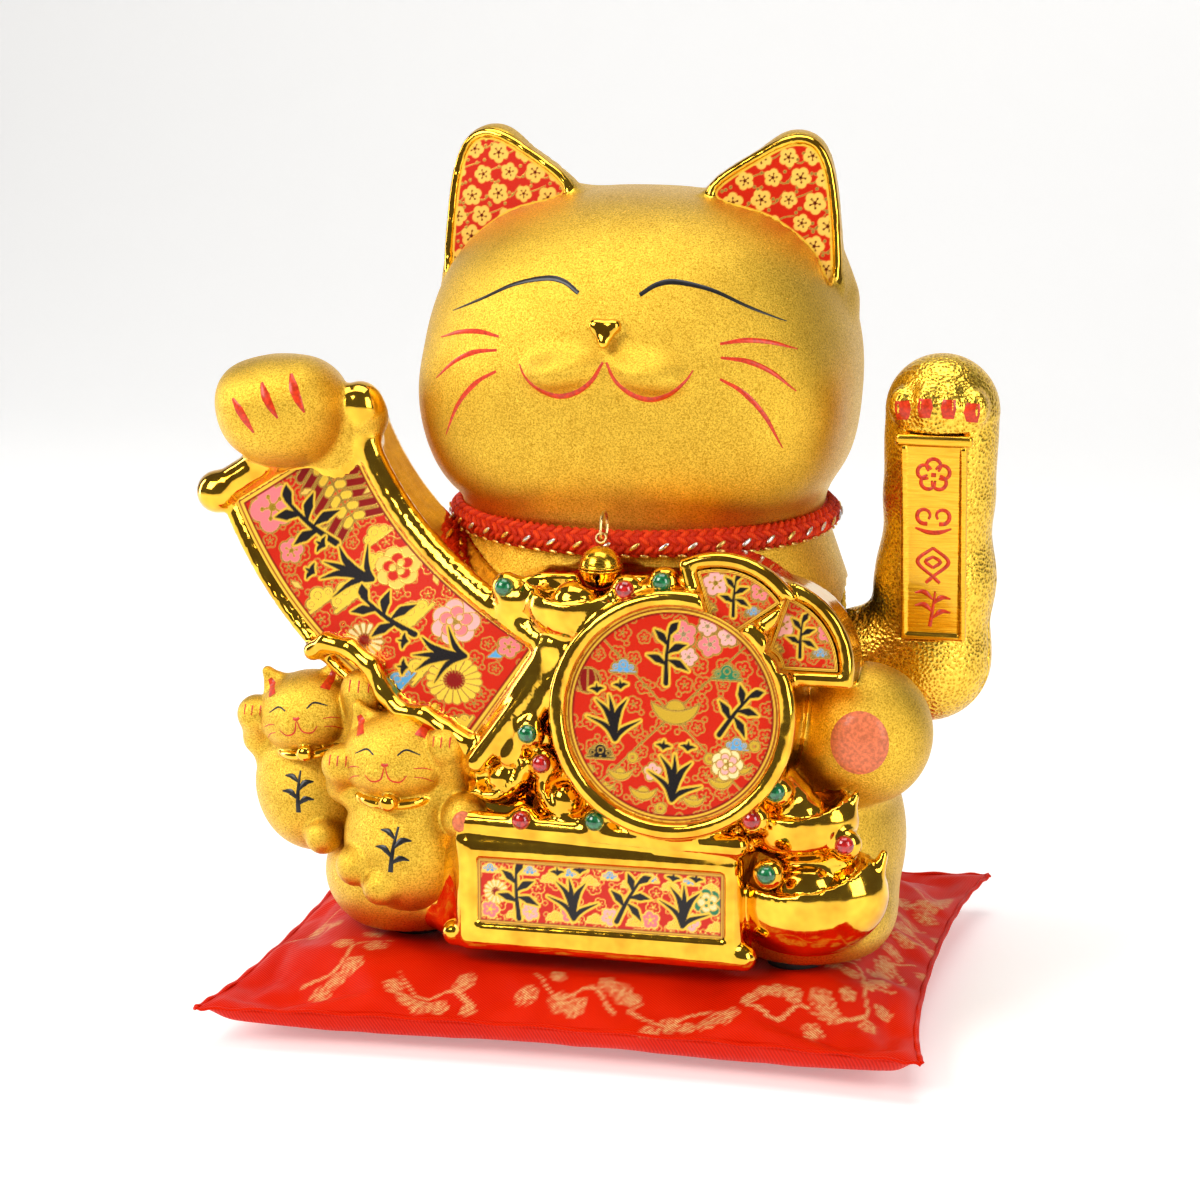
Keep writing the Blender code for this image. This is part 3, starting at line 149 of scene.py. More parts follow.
def ring(place, radius, wire):
    """A ring about the frame's third axis."""
    origin, axes = place

    def distance(points):
        local = (points - origin) @ axes
        out = np.hypot(local[:, 0], local[:, 1]) - radius
        return np.hypot(out, local[:, 2]) - wire

    reach = np.abs(axes[:, :2]).sum(axis=1) * (radius + wire) + np.abs(axes[:, 2]) * wire
    return Lump(distance, origin - reach, origin + reach)


def drum(place, radius, low, high, rounding):
    """A disc about the frame's third axis, from low to high along it."""
    origin, axes = place
    middle, half = (low + high) / 2, (high - low) / 2 - rounding

    def distance(points):
        local = (points - origin) @ axes
        out = np.hypot(local[:, 0], local[:, 1]) - (radius - rounding)
        away = np.abs(local[:, 2] - middle) - half
        outside = np.hypot(np.maximum(out, 0), np.maximum(away, 0))
        return outside + np.minimum(np.maximum(out, away), 0) - rounding

    centre = origin + axes[:, 2] * middle
    reach = np.abs(axes[:, :2]).sum(axis=1) * radius + np.abs(axes[:, 2]) * (high - low) / 2
    return Lump(distance, centre - reach, centre + reach)


def lathe(centre, heights, widths, depth_ratio, inset):
    """An upright body whose half-width is given at some heights; its depth is a share of its width."""
    centre = np.array(centre, float)

    def distance(points):
        wide = np.interp(points[:, 2], heights, widths) - inset
        deep = np.interp(points[:, 2], heights, widths) * depth_ratio - inset
        x, y = (points[:, 0] - centre[0]) / wide, (points[:, 1] - centre[1]) / deep
        near = np.hypot(x, y)
        far = np.hypot(x / wide, y / deep) + 1e-9
        side = near * (near - 1) / far
        cap = np.maximum(heights[0] - points[:, 2], points[:, 2] - heights[-1])
        return np.maximum(side, cap)

    reach = np.array([max(widths), max(widths) * depth_ratio])
    return Lump(distance, (*(centre[:2] - reach), heights[0]), (*(centre[:2] + reach), heights[-1]))


def smooth_min(a, b, soft):
    """The smaller of two distances, rounded where they meet, and how much of it comes from the first."""
    share = np.clip(0.5 + 0.5 * (b - a) / soft, 0, 1)
    return b + (a - b) * share - soft * share * (1 - share), share


class Sculpt:
    """A solid made by adding and cutting lumps in turn, each with a soft edge and a shine from 0 to 1."""

    def __init__(self):
        self.steps = []

    def add(self, lump, soft=3.0, shine=0.0):
        self.steps.append((lump, soft, shine, False))

    def cut(self, lump, soft, shine=None):
        self.steps.append((lump, soft, shine, True))

    def field(self, points):
        """Depth and shine at each point; the depth is negative inside."""
        depth = np.full(len(points), FAR, np.float32)
        shines = np.zeros(len(points), np.float32)
        for lump, soft, shine, cutting in self.steps:
            margin = soft + 4.0
            near = np.flatnonzero(((points > lump.low - margin) & (points < lump.high + margin)).all(axis=1))
            if not len(near):
                continue
            there = lump.distance(points[near])
            if cutting:
                mixed, share = smooth_min(-depth[near], there, soft)
                depth[near] = -mixed
                if shine is not None:
                    shines[near] = shine * (1 - share) + shines[near] * share
            else:
                mixed, share = smooth_min(depth[near], there, soft)
                depth[near] = mixed
                shines[near] = shine * (1 - share) + shines[near] * share
        return depth, shines

    def box(self):
        added = [lump for lump, _, _, cutting in self.steps if not cutting]
        return np.min([lump.low for lump in added], axis=0), np.max([lump.high for lump in added], axis=0)

    def mesh(self, name, step):
        """The solid's surface on a grid of this step, with its shine stored at each point."""
        low, high = self.box()
        low = low - 4 * step
        counts = np.ceil((high - low) / step).astype(int) + 5
        lines = [low[a] + step * np.arange(counts[a], dtype=np.float32) for a in range(3)]
        values = np.empty(tuple(counts), np.float32)
        for start in range(0, counts[0], SLAB):
            xs = lines[0][start:start + SLAB]
            grid = np.stack(np.meshgrid(xs, lines[1], lines[2], indexing="ij"), axis=-1)
            values[start:start + SLAB] = self.field(grid.reshape(-1, 3))[0].reshape(grid.shape[:3])
        places, quads = surface_net(values)
        points = low + step * places
        for _ in range(SETTLE_ROUNDS):
            points = self.settle(points, step)
        obj = mesh_object(name, points * MM, quads)
        store(obj, "shine", self.field(points)[1])
        return obj

    def settle(self, points, step):
        """Moves points onto the surface, along its slope."""
        depth = self.field(points)[0]
        ahead = np.stack([self.field(points + SLOPE_STEP * axis)[0] for axis in np.eye(3)], axis=1)
        slope = (ahead - depth[:, None]) / SLOPE_STEP
        steepness = np.maximum((slope ** 2).sum(axis=1), 0.2)
        move = np.clip(depth / steepness, -0.6 * step, 0.6 * step)
        return points - slope * move[:, None]


def surface_net(values):
    """The zero surface of a grid of values, as points in grid units and quads that face outwards."""
    inside = values < 0
    cells = np.zeros(tuple(np.array(values.shape) - 1), np.int8)
    for corner in itertools.product((0, 1), repeat=3):
        cells += inside[tuple(slice(c, c + n) for c, n in zip(corner, cells.shape))]
    places = np.argwhere((cells > 0) & (cells < 8))
    index = np.full(cells.shape, -1, np.int32)
    index[tuple(places.T)] = np.arange(len(places))
    total, crossings = np.zeros((len(places), 3)), np.zeros(len(places))
    for axis in range(3):
        for others in itertools.product((0, 1), repeat=2):
            start = np.insert(others, axis, 0)
            end = np.insert(others, axis, 1)
            a, b = values[tuple((places + start).T)], values[tuple((places + end).T)]
            cross = (a < 0) != (b < 0)
            share = np.where(cross, a / np.where(cross, a - b, 1), 0)
            at = start + share[:, None] * (end - start)
            total += np.where(cross[:, None], at, 0)
            crossings += cross
    quads = []
    for axis in range(3):
        ahead = np.roll(inside, -1, axis)
        edges = np.argwhere(inside != ahead)
        edges = edges[(edges > 0).all(axis=1) & (edges < np.array(cells.shape)).all(axis=1)]
        u, v = np.eye(3, dtype=int)[(axis + 1) % 3], np.eye(3, dtype=int)[(axis + 2) % 3]
        loop = np.stack([index[tuple((edges - shift).T)] for shift in (u + v, v, 0 * u, u)], axis=1)
        outward = inside[tuple(edges.T)]
        quads.append(np.where(outward[:, None], loop, loop[:, ::-1]))
    return places + total / crossings[:, None], np.concatenate(quads)


# ---------------------------------------------------------------- meshes, in metres
def new_object(name, data):
    obj = bpy.data.objects.new(name, data)
    bpy.context.scene.collection.objects.link(obj)
    return obj


def mesh_object(name, points, faces):
    """A smooth-shaded mesh; faces with different numbers of sides come as an array of lists."""
    mesh = bpy.data.meshes.new(name)
    points, faces = np.asarray(points, np.float32), np.asarray(faces)
    if faces.dtype == object or faces.ndim != 2:
        mesh.from_pydata([tuple(p) for p in points], [], [tuple(int(i) for i in f) for f in faces])
    else:
        count, sides = faces.shape
        mesh.vertices.add(len(points))
        mesh.vertices.foreach_set("co", points.ravel())
        mesh.loops.add(count * sides)
        mesh.loops.foreach_set("vertex_index", faces.astype(np.int32).ravel())
        mesh.polygons.add(count)
        mesh.polygons.foreach_set("loop_start", np.arange(count, dtype=np.int32) * sides)
        mesh.update(calc_edges=True)
        mesh.validate()
    mesh.shade_smooth()
    return new_object(name, mesh)


def mesh_points(obj):
    return np.array([vert.co for vert in obj.data.vertices])


def move_points(obj, points):
    obj.data.vertices.foreach_set("co", np.asarray(points, np.float32).ravel())


def store(obj, name, values):
    """Keeps one number for each point of a mesh, for its material to read."""
    obj.data.attributes.new(name, "FLOAT", "POINT").data.foreach_set("value", np.asarray(values, np.float32))


# ---------------------------------------------------------------- frames and outlines, in millimetres
def front_place(centre, lean=0.0, yaw=0.0):
    """A frame that faces the front: columns are its right, its up and its way out of the surface."""
    return np.array(centre, float), turned("Z", yaw) @ turned("X", 90 - lean)


def smooth_line(points, per_span, closed=False):
    """A Catmull-Rom line through points of any dimension."""
    points = np.array(points, float)
    if closed:
        padded = np.concatenate([points[-1:], points, points[:2]])
    else:
        padded = np.concatenate([2 * points[:1] - points[1:2], points, 2 * points[-1:] - points[-2:-1]])
    line = []
    for i in range(len(padded) - 3):
        a, b, c, d = padded[i:i + 4]
        for t in np.arange(per_span) / per_span:
            line.append(0.5 * (2 * b + (c - a) * t + (2 * a - 5 * b + 4 * c - d) * t ** 2
                               + (3 * b - a - 3 * c + d) * t ** 3))
    if not closed:
        line.append(padded[-2])
    return np.array(line)


def circle_distance(x, y, cx, cy, radius):
    return np.hypot(x - cx, y - cy) - radius


def segment_distance(x, y, a, b, radius_a, radius_b=None):
    """Distance to a stroke from a to b that may taper."""
    radius_b = radius_a if radius_b is None else radius_b
    way = np.subtract(b, a, dtype=float)
    share = np.clip(((x - a[0]) * way[0] + (y - a[1]) * way[1]) / max(way @ way, 1e-9), 0, 1)
    radius = radius_a + (radius_b - radius_a) * share
    return np.hypot(x - a[0] - share * way[0], y - a[1] - share * way[1]) - radius


def polygon_distance(x, y, outline):
    """Signed distance to a closed outline, negative inside."""
    nearest = np.full(x.shape, 1e9)
    inside = np.zeros(x.shape, bool)
    for (ax, ay), (bx, by) in zip(outline, np.roll(outline, -1, axis=0)):
        length2 = (bx - ax) ** 2 + (by - ay) ** 2
        share = np.clip(((x - ax) * (bx - ax) + (y - ay) * (by - ay)) / length2, 0, 1)
        nearest = np.minimum(nearest, np.hypot(x - ax - share * (bx - ax), y - ay - share * (by - ay)))
        if ay != by:
            inside ^= ((ay > y) != (by > y)) & (x < ax + (y - ay) / (by - ay) * (bx - ax))
    return np.where(inside, -nearest, nearest)


def fan_distance(x, y, heading):
    """Signed distance to a fan between two arcs, opening along heading (degrees from up)."""
    angle = math.radians(heading)
    across = x * math.cos(angle) + y * math.sin(angle)
    up = -x * math.sin(angle) + y * math.cos(angle) + FAN_DROP
    radius, turn = np.hypot(across, up), np.arctan2(np.abs(across), up)
    side = radius * np.sin(np.clip(turn - FAN_HALF_ANGLE, -1.5, 1.5))
    return np.maximum(np.maximum(radius - FAN_OUTER, FAN_INNER - radius), side)


class Shape:
    """A flat shape on a frame: its distance in the plane and its half-size round the frame's origin."""

    def __init__(self, place, distance, half):
        self.place, self.distance, self.half = place, distance, np.array(half, float)

    def prism(self, low, high, grow=0.0):
        """The shape as a slab from low to high, grown outwards in its plane."""
        origin, axes = self.place

        def distance(points):
            local = (points - origin) @ axes
            side = self.distance(local[:, 0], local[:, 1]) - grow
            away = np.abs(local[:, 2] - (low + high) / 2) - (high - low) / 2
            outside = np.hypot(np.maximum(side, 0), np.maximum(away, 0))
            return outside + np.minimum(np.maximum(side, away), 0)

        return Lump(distance, *self.reach(max(grow, 0), low, high))

    def rim(self, offset, height, wire):
        """A round bead that follows the outline, offset outwards from it."""
        origin, axes = self.place

        def distance(points):
            local = (points - origin) @ axes
            return np.hypot(self.distance(local[:, 0], local[:, 1]) - offset, local[:, 2] - height) - wire

        return Lump(distance, *self.reach(offset + wire, height - wire, height + wire))

    def reach(self, margin, low, high):
        """Lowest and highest corners of the box round the shape."""
        origin, axes = self.place
        wide = self.half + margin
        box = ((-wide[0], -wide[1], low), (wide[0], wide[1], high))
        corners = np.array(list(itertools.product(*zip(*box)))) @ axes.T + origin
        return corners.min(axis=0), corners.max(axis=0)


# ---------------------------------------------------------------- the casting's driving sizes, in millimetres
GROUND_Z = 30.3
TORSO_Z = np.array((30.3, 36, 48, 70, 95, 120, 145, 168, 200.0))
TORSO_WIDTH = np.array((74, 80, 86, 89, 86, 80, 73, 65, 58.0))
TORSO_DEPTH = 0.84
TORSO_Y = -3.0
WALL = 5.5
FOOT_THICK = 8.0  # how far above the ground the hollow in the torso starts
PIVOT = np.array(next(j["pos_m"] for j in frame["joints"] if j["name"] == "arm_swing")) / MM
SHOULDER_HOLE = 27.0  # radii of the holes for the arm and for the socket
SOCKET_HOLE = 7.6
PLATE_OPENING = (70.4, 55.4)  # half-size of the oval opening for the base plate
BELL_ROOM = 0.9  # gap round the bell in its hollow
POCKET = 0.9  # depth of the pocket that each printed sheet lies in
LEAN = 8.0  # the drum and the fans lean back by this many degrees
DRUM_R = 36.0
FAN_INNER, FAN_OUTER, FAN_DROP = 6.5, 25.0, 15.0
FAN_HALF_ANGLE = math.radians(36)
FAN_HEADINGS = {"fan_decal_1": -18, "fan_decal_2": -54}
FAN_CENTRES = {"fan_decal_1": (48.0, -88.0, 156.0), "fan_decal_2": (70.0, -85.5, 142.5)}
EAR_POINTS = ((20.5, -21.0), (13.0, -8.5), (-1.0, 2.0), (-20.5, 9.5), (-4.0, 22.5), (8.0, 27.5), (15.5, 23.5),
              (19.5, 8.0))
EAR_CENTRE = (47.0, -10.5, 272.0)

DRUM = Shape(front_place(cad_middle("drum_decal"), LEAN), lambda x, y: circle_distance(x, y, 0, 0, DRUM_R),
             (DRUM_R, DRUM_R))


def fan_shape(name):
    heading = FAN_HEADINGS[name]
    return Shape(front_place(FAN_CENTRES[name], LEAN), lambda x, y: fan_distance(x, y, heading), (20, 20))


def ear_shape(side):
    """side is 1 for the ear at +X and -1 for the other."""
    outline = smooth_line([(side * x, y) for x, y in EAR_POINTS], 6, closed=True)
    place = front_place((side * EAR_CENTRE[0], *EAR_CENTRE[1:]), 6, side * 6)
    return Shape(place, lambda x, y: polygon_distance(x, y, outline), (26, 34))


FANS = {name: fan_shape(name) for name in FAN_HEADINGS}
EARS = {"ear_decal_left": ear_shape(1), "ear_decal_right": ear_shape(-1)}

PLAQUE_LOW, PLAQUE_HIGH = cad_mm("plaque_decal")
PLAQUE_MIDDLE = (PLAQUE_LOW + PLAQUE_HIGH) / 2
PLAQUE_HALF = (PLAQUE_HIGH - PLAQUE_LOW) / 2
PLAQUE = Shape(front_place(PLAQUE_MIDDLE * (1, 0, 1) + (0, PLAQUE_LOW[1], 0)),
               lambda x, y: np.maximum(np.abs(x) - PLAQUE_HALF[0], np.abs(y) - PLAQUE_HALF[2]),
               (PLAQUE_HALF[0], PLAQUE_HALF[2]))


# ---------------------------------------------------------------- the raised arm that carries the banner
BAR_ROUND = 7.0  # rounding of the bar's long edges
BAR_STATIONS = 64  # places along the bar where its section is worked out


class Sweep:
    """A flat-fronted bar through sections, each a face centre, a half-width, a depth and a roll."""

    def __init__(self, sections):
        knots = np.linspace(0, 1, len(sections))
        rows = np.array([(*centre, wide, deep, roll) for centre, wide, deep, roll in sections], float)
        self.shares = np.linspace(0, 1, BAR_STATIONS)
        rows = np.stack([np.polyval(np.polyfit(knots, column, 3), self.shares) for column in rows.T], axis=1)
        self.centres, self.wide, self.deep = rows[:, :3], rows[:, 3], rows[:, 4]
        roll = np.radians(rows[:, 5])
        self.side = np.stack([np.cos(roll), 0 * roll, np.sin(roll)], axis=1)
        self.along = np.stack([np.sin(roll), 0 * roll, -np.cos(roll)], axis=1)
        self.length = np.linalg.norm(np.diff(self.centres, axis=0), axis=1).sum()

    def local(self, points):
        """Along, across and out of the face for each point, with its section's half-width and depth."""
        gaps = points[:, None, [0, 2]] - self.centres[None, :, [0, 2]]
        along = (gaps * self.along[None, :, [0, 2]]).sum(axis=2)
        best = np.argmin(np.abs(along) + 0.05 * np.hypot(gaps[..., 0], gaps[..., 1]), axis=1)
        rows = np.arange(len(points))
        across = (gaps[rows, best] * self.side[best][:, [0, 2]]).sum(axis=1)
        out = self.centres[best, 1] - points[:, 1]
        return along[rows, best], across, out, self.wide[best], self.deep[best]

    def point(self, share, across, out):
        """The point at a share of the length, across by a share of the half-width, out from the face."""
        def at(values):
            return np.stack([np.interp(share, self.shares, column) for column in values.T], axis=-1)
        side = at(self.side)
        wide = np.interp(share, self.shares, self.wide)
        forward = np.array((0, -1.0, 0)) * np.asarray(out)[..., None]
        return at(self.centres) + side * (across * wide)[..., None] + forward

    def lump(self):
        """The bar itself, with a thin bead along one edge of its face and a thick one along the other."""
        def distance(points):
            along, across, out, wide, deep = self.local(points)
            a = np.abs(across) - (wide - BAR_ROUND)
            b = np.abs(out + deep / 2) - (deep / 2 - BAR_ROUND)
            core = np.hypot(np.maximum(a, 0), np.maximum(b, 0)) + np.minimum(np.maximum(a, b), 0) - BAR_ROUND
            thin = np.hypot(across + wide - 2.2, out + 0.5) - 2.4
            thick = np.hypot((across - wide + 2.4) * 0.9, out + 1.4) - 4.2
            face = np.maximum(core, out)
            return np.maximum(np.minimum(np.minimum(face, thin), thick), np.abs(along) - 1.2)

        low = (self.centres - self.wide[:, None] * np.abs(self.side)).min(axis=0) - (3, 5, 3)
        high = (self.centres + self.wide[:, None] * np.abs(self.side)).max(axis=0) + (3, 45, 3)
        return Lump(distance, low, high)


BANNER = Sweep((((-117.0, -51.0, 194.5), 30.5, 33, 32.5), ((-107.0, -53.5, 174.5), 30.0, 34, 33.5),
                ((-97.0, -57.5, 159.5), 30.0, 36, 36), ((-83.0, -63.5, 145.5), 30.0, 39, 40),
                ((-66.0, -71.0, 134.0), 29.5, 42, 45.5), ((-46.5, -79.0, 124.5), 28.0, 44, 51.5),
                ((-27.0, -86.0, 117.0), 26.0, 44, 56)))
BANNER_SPAN = (0.045, 0.965)  # the sheet's two ends, as shares of the arm's length
BANNER_EDGE = 0.835  # the sheet's edge, as a share of the half-width


# ---------------------------------------------------------------- the casting
def torso(inset=0.0):
    heights = TORSO_Z.copy()
    heights[0] += FOOT_THICK * (inset > 0)
    return lathe((0, TORSO_Y, 0), heights, TORSO_WIDTH, TORSO_DEPTH, inset)


def add_head(sculpt):
    """The skull, the cheeks, the muzzle, the nose and the ears with the pockets for their prints."""
    sculpt.add(superball((0, -1, 226), (74.5, 63.5, 56.5), 2.4), 1.0)
    sculpt.add(superball((0, -3, 211), (75.0, 62.5, 47), 2.9), 8)
    for side in (-1, 1):
        outer, inner, tip = (side * 64.5, 4, 246), (side * 27, 4, 270), (side * 53.5, 1.5, 293)
        sculpt.add(limb(outer, tip, 9.0, 6.0), 9)
        sculpt.add(limb(inner, tip, 9.0, 6.0), 9)
        sculpt.add(limb((side * 47, 6, 258), tip, 13.0, 6.5), 9)
        sculpt.add(ellipsoid((side * 15.0, -53, 227.0), (18.0, 19.5, 9.6), turned("Y", side * 7)), 3.5)
        sculpt.add(ellipsoid((side * 44, -34, 212), (24, 20, 20)), 14)
    for side in (-1, 1):
        sculpt.add(limb((side * 3.4, -66.0, 243.2), (0, -68.4, 237.6), 1.9, 1.4), 1.8, 1.0)
    sculpt.add(limb((-3.0, -66.0, 243.4), (3.0, -66.0, 243.4), 2.1), 1.8, 1.0)
    for ear in EARS.values():
        sculpt.add(ear.prism(-7, -2.4, 3.2), 5.0)
        sculpt.add(ear.rim(1.3, -1.0, 1.7), 1.4, 1.0)
        sculpt.cut(ear.prism(-POCKET, 12), 0.4)


def add_raised_arm(sculpt):
    """The bar under the banner, its rolled ends, the wavy edge below it, and the paw above it."""
    sculpt.add(BANNER.lump(), 1.0, 1.0)
    for share, radius, bulb, past in ((0.0, 6.0, 7.6, 1.02), (1.0, 4.8, 5.6, 0.97)):
        ends = BANNER.point(np.array((share, share)), np.array((-past, past)), np.array((-1.5, -1.5)))
        sculpt.add(limb(ends[0], ends[1], radius), 2.0, 1.0)
        for end in ends:
            sculpt.add(ellipsoid(end, (bulb, bulb, bulb)), 1.5, 1.0)
    for a, b in zip(SCALLOPS, SCALLOPS[1:]):
        sculpt.add(limb(a, b, 3.4), 2.0, 1.0)
    sculpt.add(limb((-122, -34, 200), (-105, -34, 190), 14), 5)
    sculpt.add(superball((-117.5, -50, 208.0), (22.5, 21.5, 19.0), 2.3), 4)
    for x, y, z in ((-128, -57, 211), (-118, -58, 213), (-107, -57, 214)):
        sculpt.add(ellipsoid((x, y, z), (9.5, 13, 12), turned("Y", -24)), 7)
    sculpt.add(limb((-99, -46, 193), (-89, -47, 205), 8.0, 7.5), 5)


def add_ingot(sculpt, centre, half_width, roll, pitch=0.0):
    """A boat-shaped ingot with turned-up ends and a ball in its middle; pitch tips it to the front."""
    turn = turned("Y", roll) @ turned("X", pitch)

    def at(x, y, z):
        return np.array(centre) + turn @ (np.array((x, y, z)) * half_width)

    hull = ellipsoid(at(0, 0, 0), np.array((0.98, 0.62, 0.74)) * half_width, turn)
    bowl = ellipsoid(at(0, -0.12, 0.74), np.array((0.90, 0.78, 0.66)) * half_width, turn)
    boat = Lump(lambda points: np.maximum(hull.distance(points), -bowl.distance(points)), hull.low, hull.high)
    sculpt.add(boat, 1.0, 1.0)
    for side in (-1, 1):
        sculpt.add(limb(at(side * 0.80, -0.05, 0.12), at(side * 1.0, 0, 0.46), half_width * 0.15,
                        half_width * 0.05), 1.5, 1.0)
    sculpt.add(ellipsoid(at(0, -0.06, 0.14), np.array((0.46, 0.44, 0.40)) * half_width, turn), 0.5, 1.0)


def bead_seats():
    """Centre and colour of each glass bead set in the front."""
    return (((-31.5, -80, 155.2), "green"), ((24.0, -86, 161.0), "green"), ((-20.5, -93.5, 108.4), "green"),
            ((3.5, -97.5, 80.5), "green"), ((64.3, -95, 93.8), "green"), ((62.5, -101.5, 67.2), "green"),
            ((11.8, -88, 158.2), "red"), ((-15.6, -94, 98.4), "red"), ((-22.3, -95.5, 78.7), "red"),
            ((56.8, -98, 84.6), "red"), ((86.8, -91, 75.7), "red"))


BEAD_R = 3.3
APRON = ((-14, 138), (6, 134), (4, 100), (20, 82), (62, 84), (62, 70), (-46, 70), (-46, 90), (-36, 98))
CREST = ((-33, 151), (-30, 158), (-20, 161), (30, 162), (40, 150), (20, 140), (-5, 134), (-17, 144))
SCALLOPS = ((-104, -66, 126), (-98, -68.5, 130), (-89, -71.5, 129), (-81, -74, 124), (-75.5, -76, 115),
            (-69, -78.5, 109.5), (-60, -81.5, 109.5), (-52, -83.5, 105.5), (-44, -86, 102))


def add_drum_and_fans(sculpt):
    sculpt.add(drum(DRUM.place, DRUM_R + 5.5, -34, -1.0, 2.0), 2.5, 1.0)
    sculpt.add(ring(DRUM.place, DRUM_R + 2.8, 3.0), 0.8, 1.0)
    for fan in FANS.values():
        sculpt.add(fan.prism(-24, -1.5, 5.0), 2.0, 1.0)
    for fan in FANS.values():
        sculpt.add(fan.rim(3.0, -1.4, 2.5), 1.0, 1.0)
    for fan in FANS.values():
        sculpt.cut(fan.prism(-POCKET, 12, 0.3), 0.4, 1.0)


def add_plaque_block(sculpt):
    """The block under the drum, with a rolled bar along its top and its foot."""
    left, right = PLAQUE_LOW[0] - 8.5, PLAQUE_HIGH[0] + 6.0
    sculpt.add(block(LEVEL, (left, -99, 32), (right, -66, 74), 5.0), 3.0, 1.0)
    sculpt.add(limb((left - 6, -78, 40), (left + 4, -90, 72), 9.0, 6.0), 4.0, 1.0)
    sculpt.add(limb((left + 3, -93.5, 76.5), (right - 2, -96.5, 75.0), 4.2), 1.5, 1.0)
    sculpt.add(limb((left - 1, -92.0, 36.5), (right, -94.5, 35.5), 4.6), 2.0, 1.0)
    sculpt.add(PLAQUE.rim(2.2, -0.6, 1.7), 0.8, 1.0)


def add_treasure(sculpt):
    """The heap round the drum: its ground, rolled bars, ingots, balls and the beads' cups."""
    for outline, y, back, blend in ((APRON, -85.5, -22, 8.0), (CREST, -79, -18, 3.5)):
        shape = Shape(front_place((0, y, 0)), lambda x, z, o=outline: polygon_distance(x, z, o), (70, 170))
        sculpt.add(shape.prism(back, -2.0, -1.0), blend, 1.0)
    sculpt.add(limb((-12, -85.0, 135), (-39, -91.5, 97), 3.6), 1.2, 1.0)
    sculpt.add(limb((-6, -84, 143), (-12, -88.5, 124), 4.0, 2.5), 3.0, 1.0)
    sculpt.add(limb((-13, -88.5, 124), (-28, -90.5, 99), 2.5, 3.5), 3.0, 1.0)
    add_ingot(sculpt, (-6.5, -82.5, 150.5), 17.0, -2)
    add_ingot(sculpt, (-30.0, -88.0, 91.5), 12.0, -42, 40)
    add_ingot(sculpt, (-8.5, -89.5, 85.5), 12.5, 38, 40)
    for x, y, z, r in ((-28, -79, 151, 6), (22, -81, 155, 7), (46, -88, 83, 5)):
        sculpt.add(ellipsoid((x, y, z), (r, r * 0.8, r * 0.9)), 5.0, 1.0)
    for centre, _ in bead_seats():
        cup = (BEAD_R + 2.0, BEAD_R + 0.8, BEAD_R + 2.0)
        sculpt.add(ellipsoid(np.array(centre) + (0, 2.6, -0.4), cup), 2.0, 1.0)
    sculpt.add(limb((62, -82, 96), (66, -82, 88), 6, 9), 3.0, 1.0)
    add_ingot(sculpt, (70.5, -82.0, 80.5), 20.0, -6)
    sculpt.add(ellipsoid((82, -80, 66), (8, 8, 8)), 3.0, 1.0)
    add_ingot(sculpt, (73.5, -81.0, 54.0), 27.5, -9)


def cut_print_pockets(sculpt):
    """Clears the treasure away from the plaque's and the drum's faces, where their prints lie."""
    sculpt.cut(PLAQUE.prism(-POCKET, 12), 0.4, 1.0)
    sculpt.cut(DRUM.prism(-POCKET - 0.4, 12), 0.4, 1.0)


# Balls that the tail runs through: x, y, z and radius, from root to tip.
TAIL = ((46, 52, 46, 10), (30, 66, 52, 10), (8, 72, 60, 10), (-10, 73, 76, 9.5), (-14, 72, 96, 9),
        (-6, 70, 112, 8))


def add_legs(sculpt):
    """The legs, the feet and the tail."""
    sculpt.add(ellipsoid((66, -38, 62), (34, 38, 44)), 12)
    sculpt.add(limb((72, -36, 88), (88.5, -58, 106.5), 20, 22.0), 6)
    sculpt.add(ellipsoid((89.5, -64, 107), (21.5, 19, 24.0)), 5)
    sculpt.add(ellipsoid((-72, -50, 46), (32, 38, 24)), 10)
    sculpt.add(ellipsoid((70, -58, 42), (30, 32, 20)), 8)
    for a, b in zip(TAIL, TAIL[1:]):
        sculpt.add(limb(a[:3], b[:3], a[3], b[3]), 3.0)


def hollow(sculpt):
    """The slip casting's inside."""
    sculpt.cut(torso(WALL), 2.0)
    sculpt.cut(superball((0, -1, 224), (68, 57, 50), 2.45), 4.0)


def cut_openings(sculpt):
    """The holes for the arm, the base plate and the socket, and the hollow where the bell hangs."""
    sculpt.cut(limb((PIVOT[0] + 18, 2, 118), (200, 2, 118), SHOULDER_HOLE), 0.6, 0.0)
    sculpt.cut(block(LEVEL, (-300, -300, -50), (300, 300, GROUND_Z), 0.0), 0.3)
    sculpt.cut(block(LEVEL, (-60, -44, 10), (60, 44, 46), 20.0), 0.5)
    sculpt.cut(stretched_disc((0, 0, GROUND_Z), PLATE_OPENING, 3.2), 0.3)
    socket = cad_middle("dc_socket")
    sculpt.cut(limb(socket - (0, 30, 0), (socket[0], 120, socket[2]), SOCKET_HOLE), 0.4)
    bell_low, bell_high = cad_mm("bell_lower_half")
    bell = np.array((*cad_middle("bell_lower_half")[:2], bell_high[2]))
    bell_r = (bell_high[0] - bell_low[0]) / 2
    sculpt.cut(limb(bell, bell - (0, 16, -5), bell_r + BELL_ROOM), 0.6, 1.0)


def stretched_disc(centre, half, height):
    """A level oval disc: half is its half-length and half-width, and height reaches each way."""
    def distance(points):
        local = points - centre
        near = np.hypot(local[:, 0] / half[0], local[:, 1] / half[1])
        side = (near - 1) * min(half)
        return np.maximum(side, np.abs(local[:, 2]) - height)

    centre, reach = np.array(centre), np.array((*half, height))
    return Lump(distance, centre - reach, centre + reach)


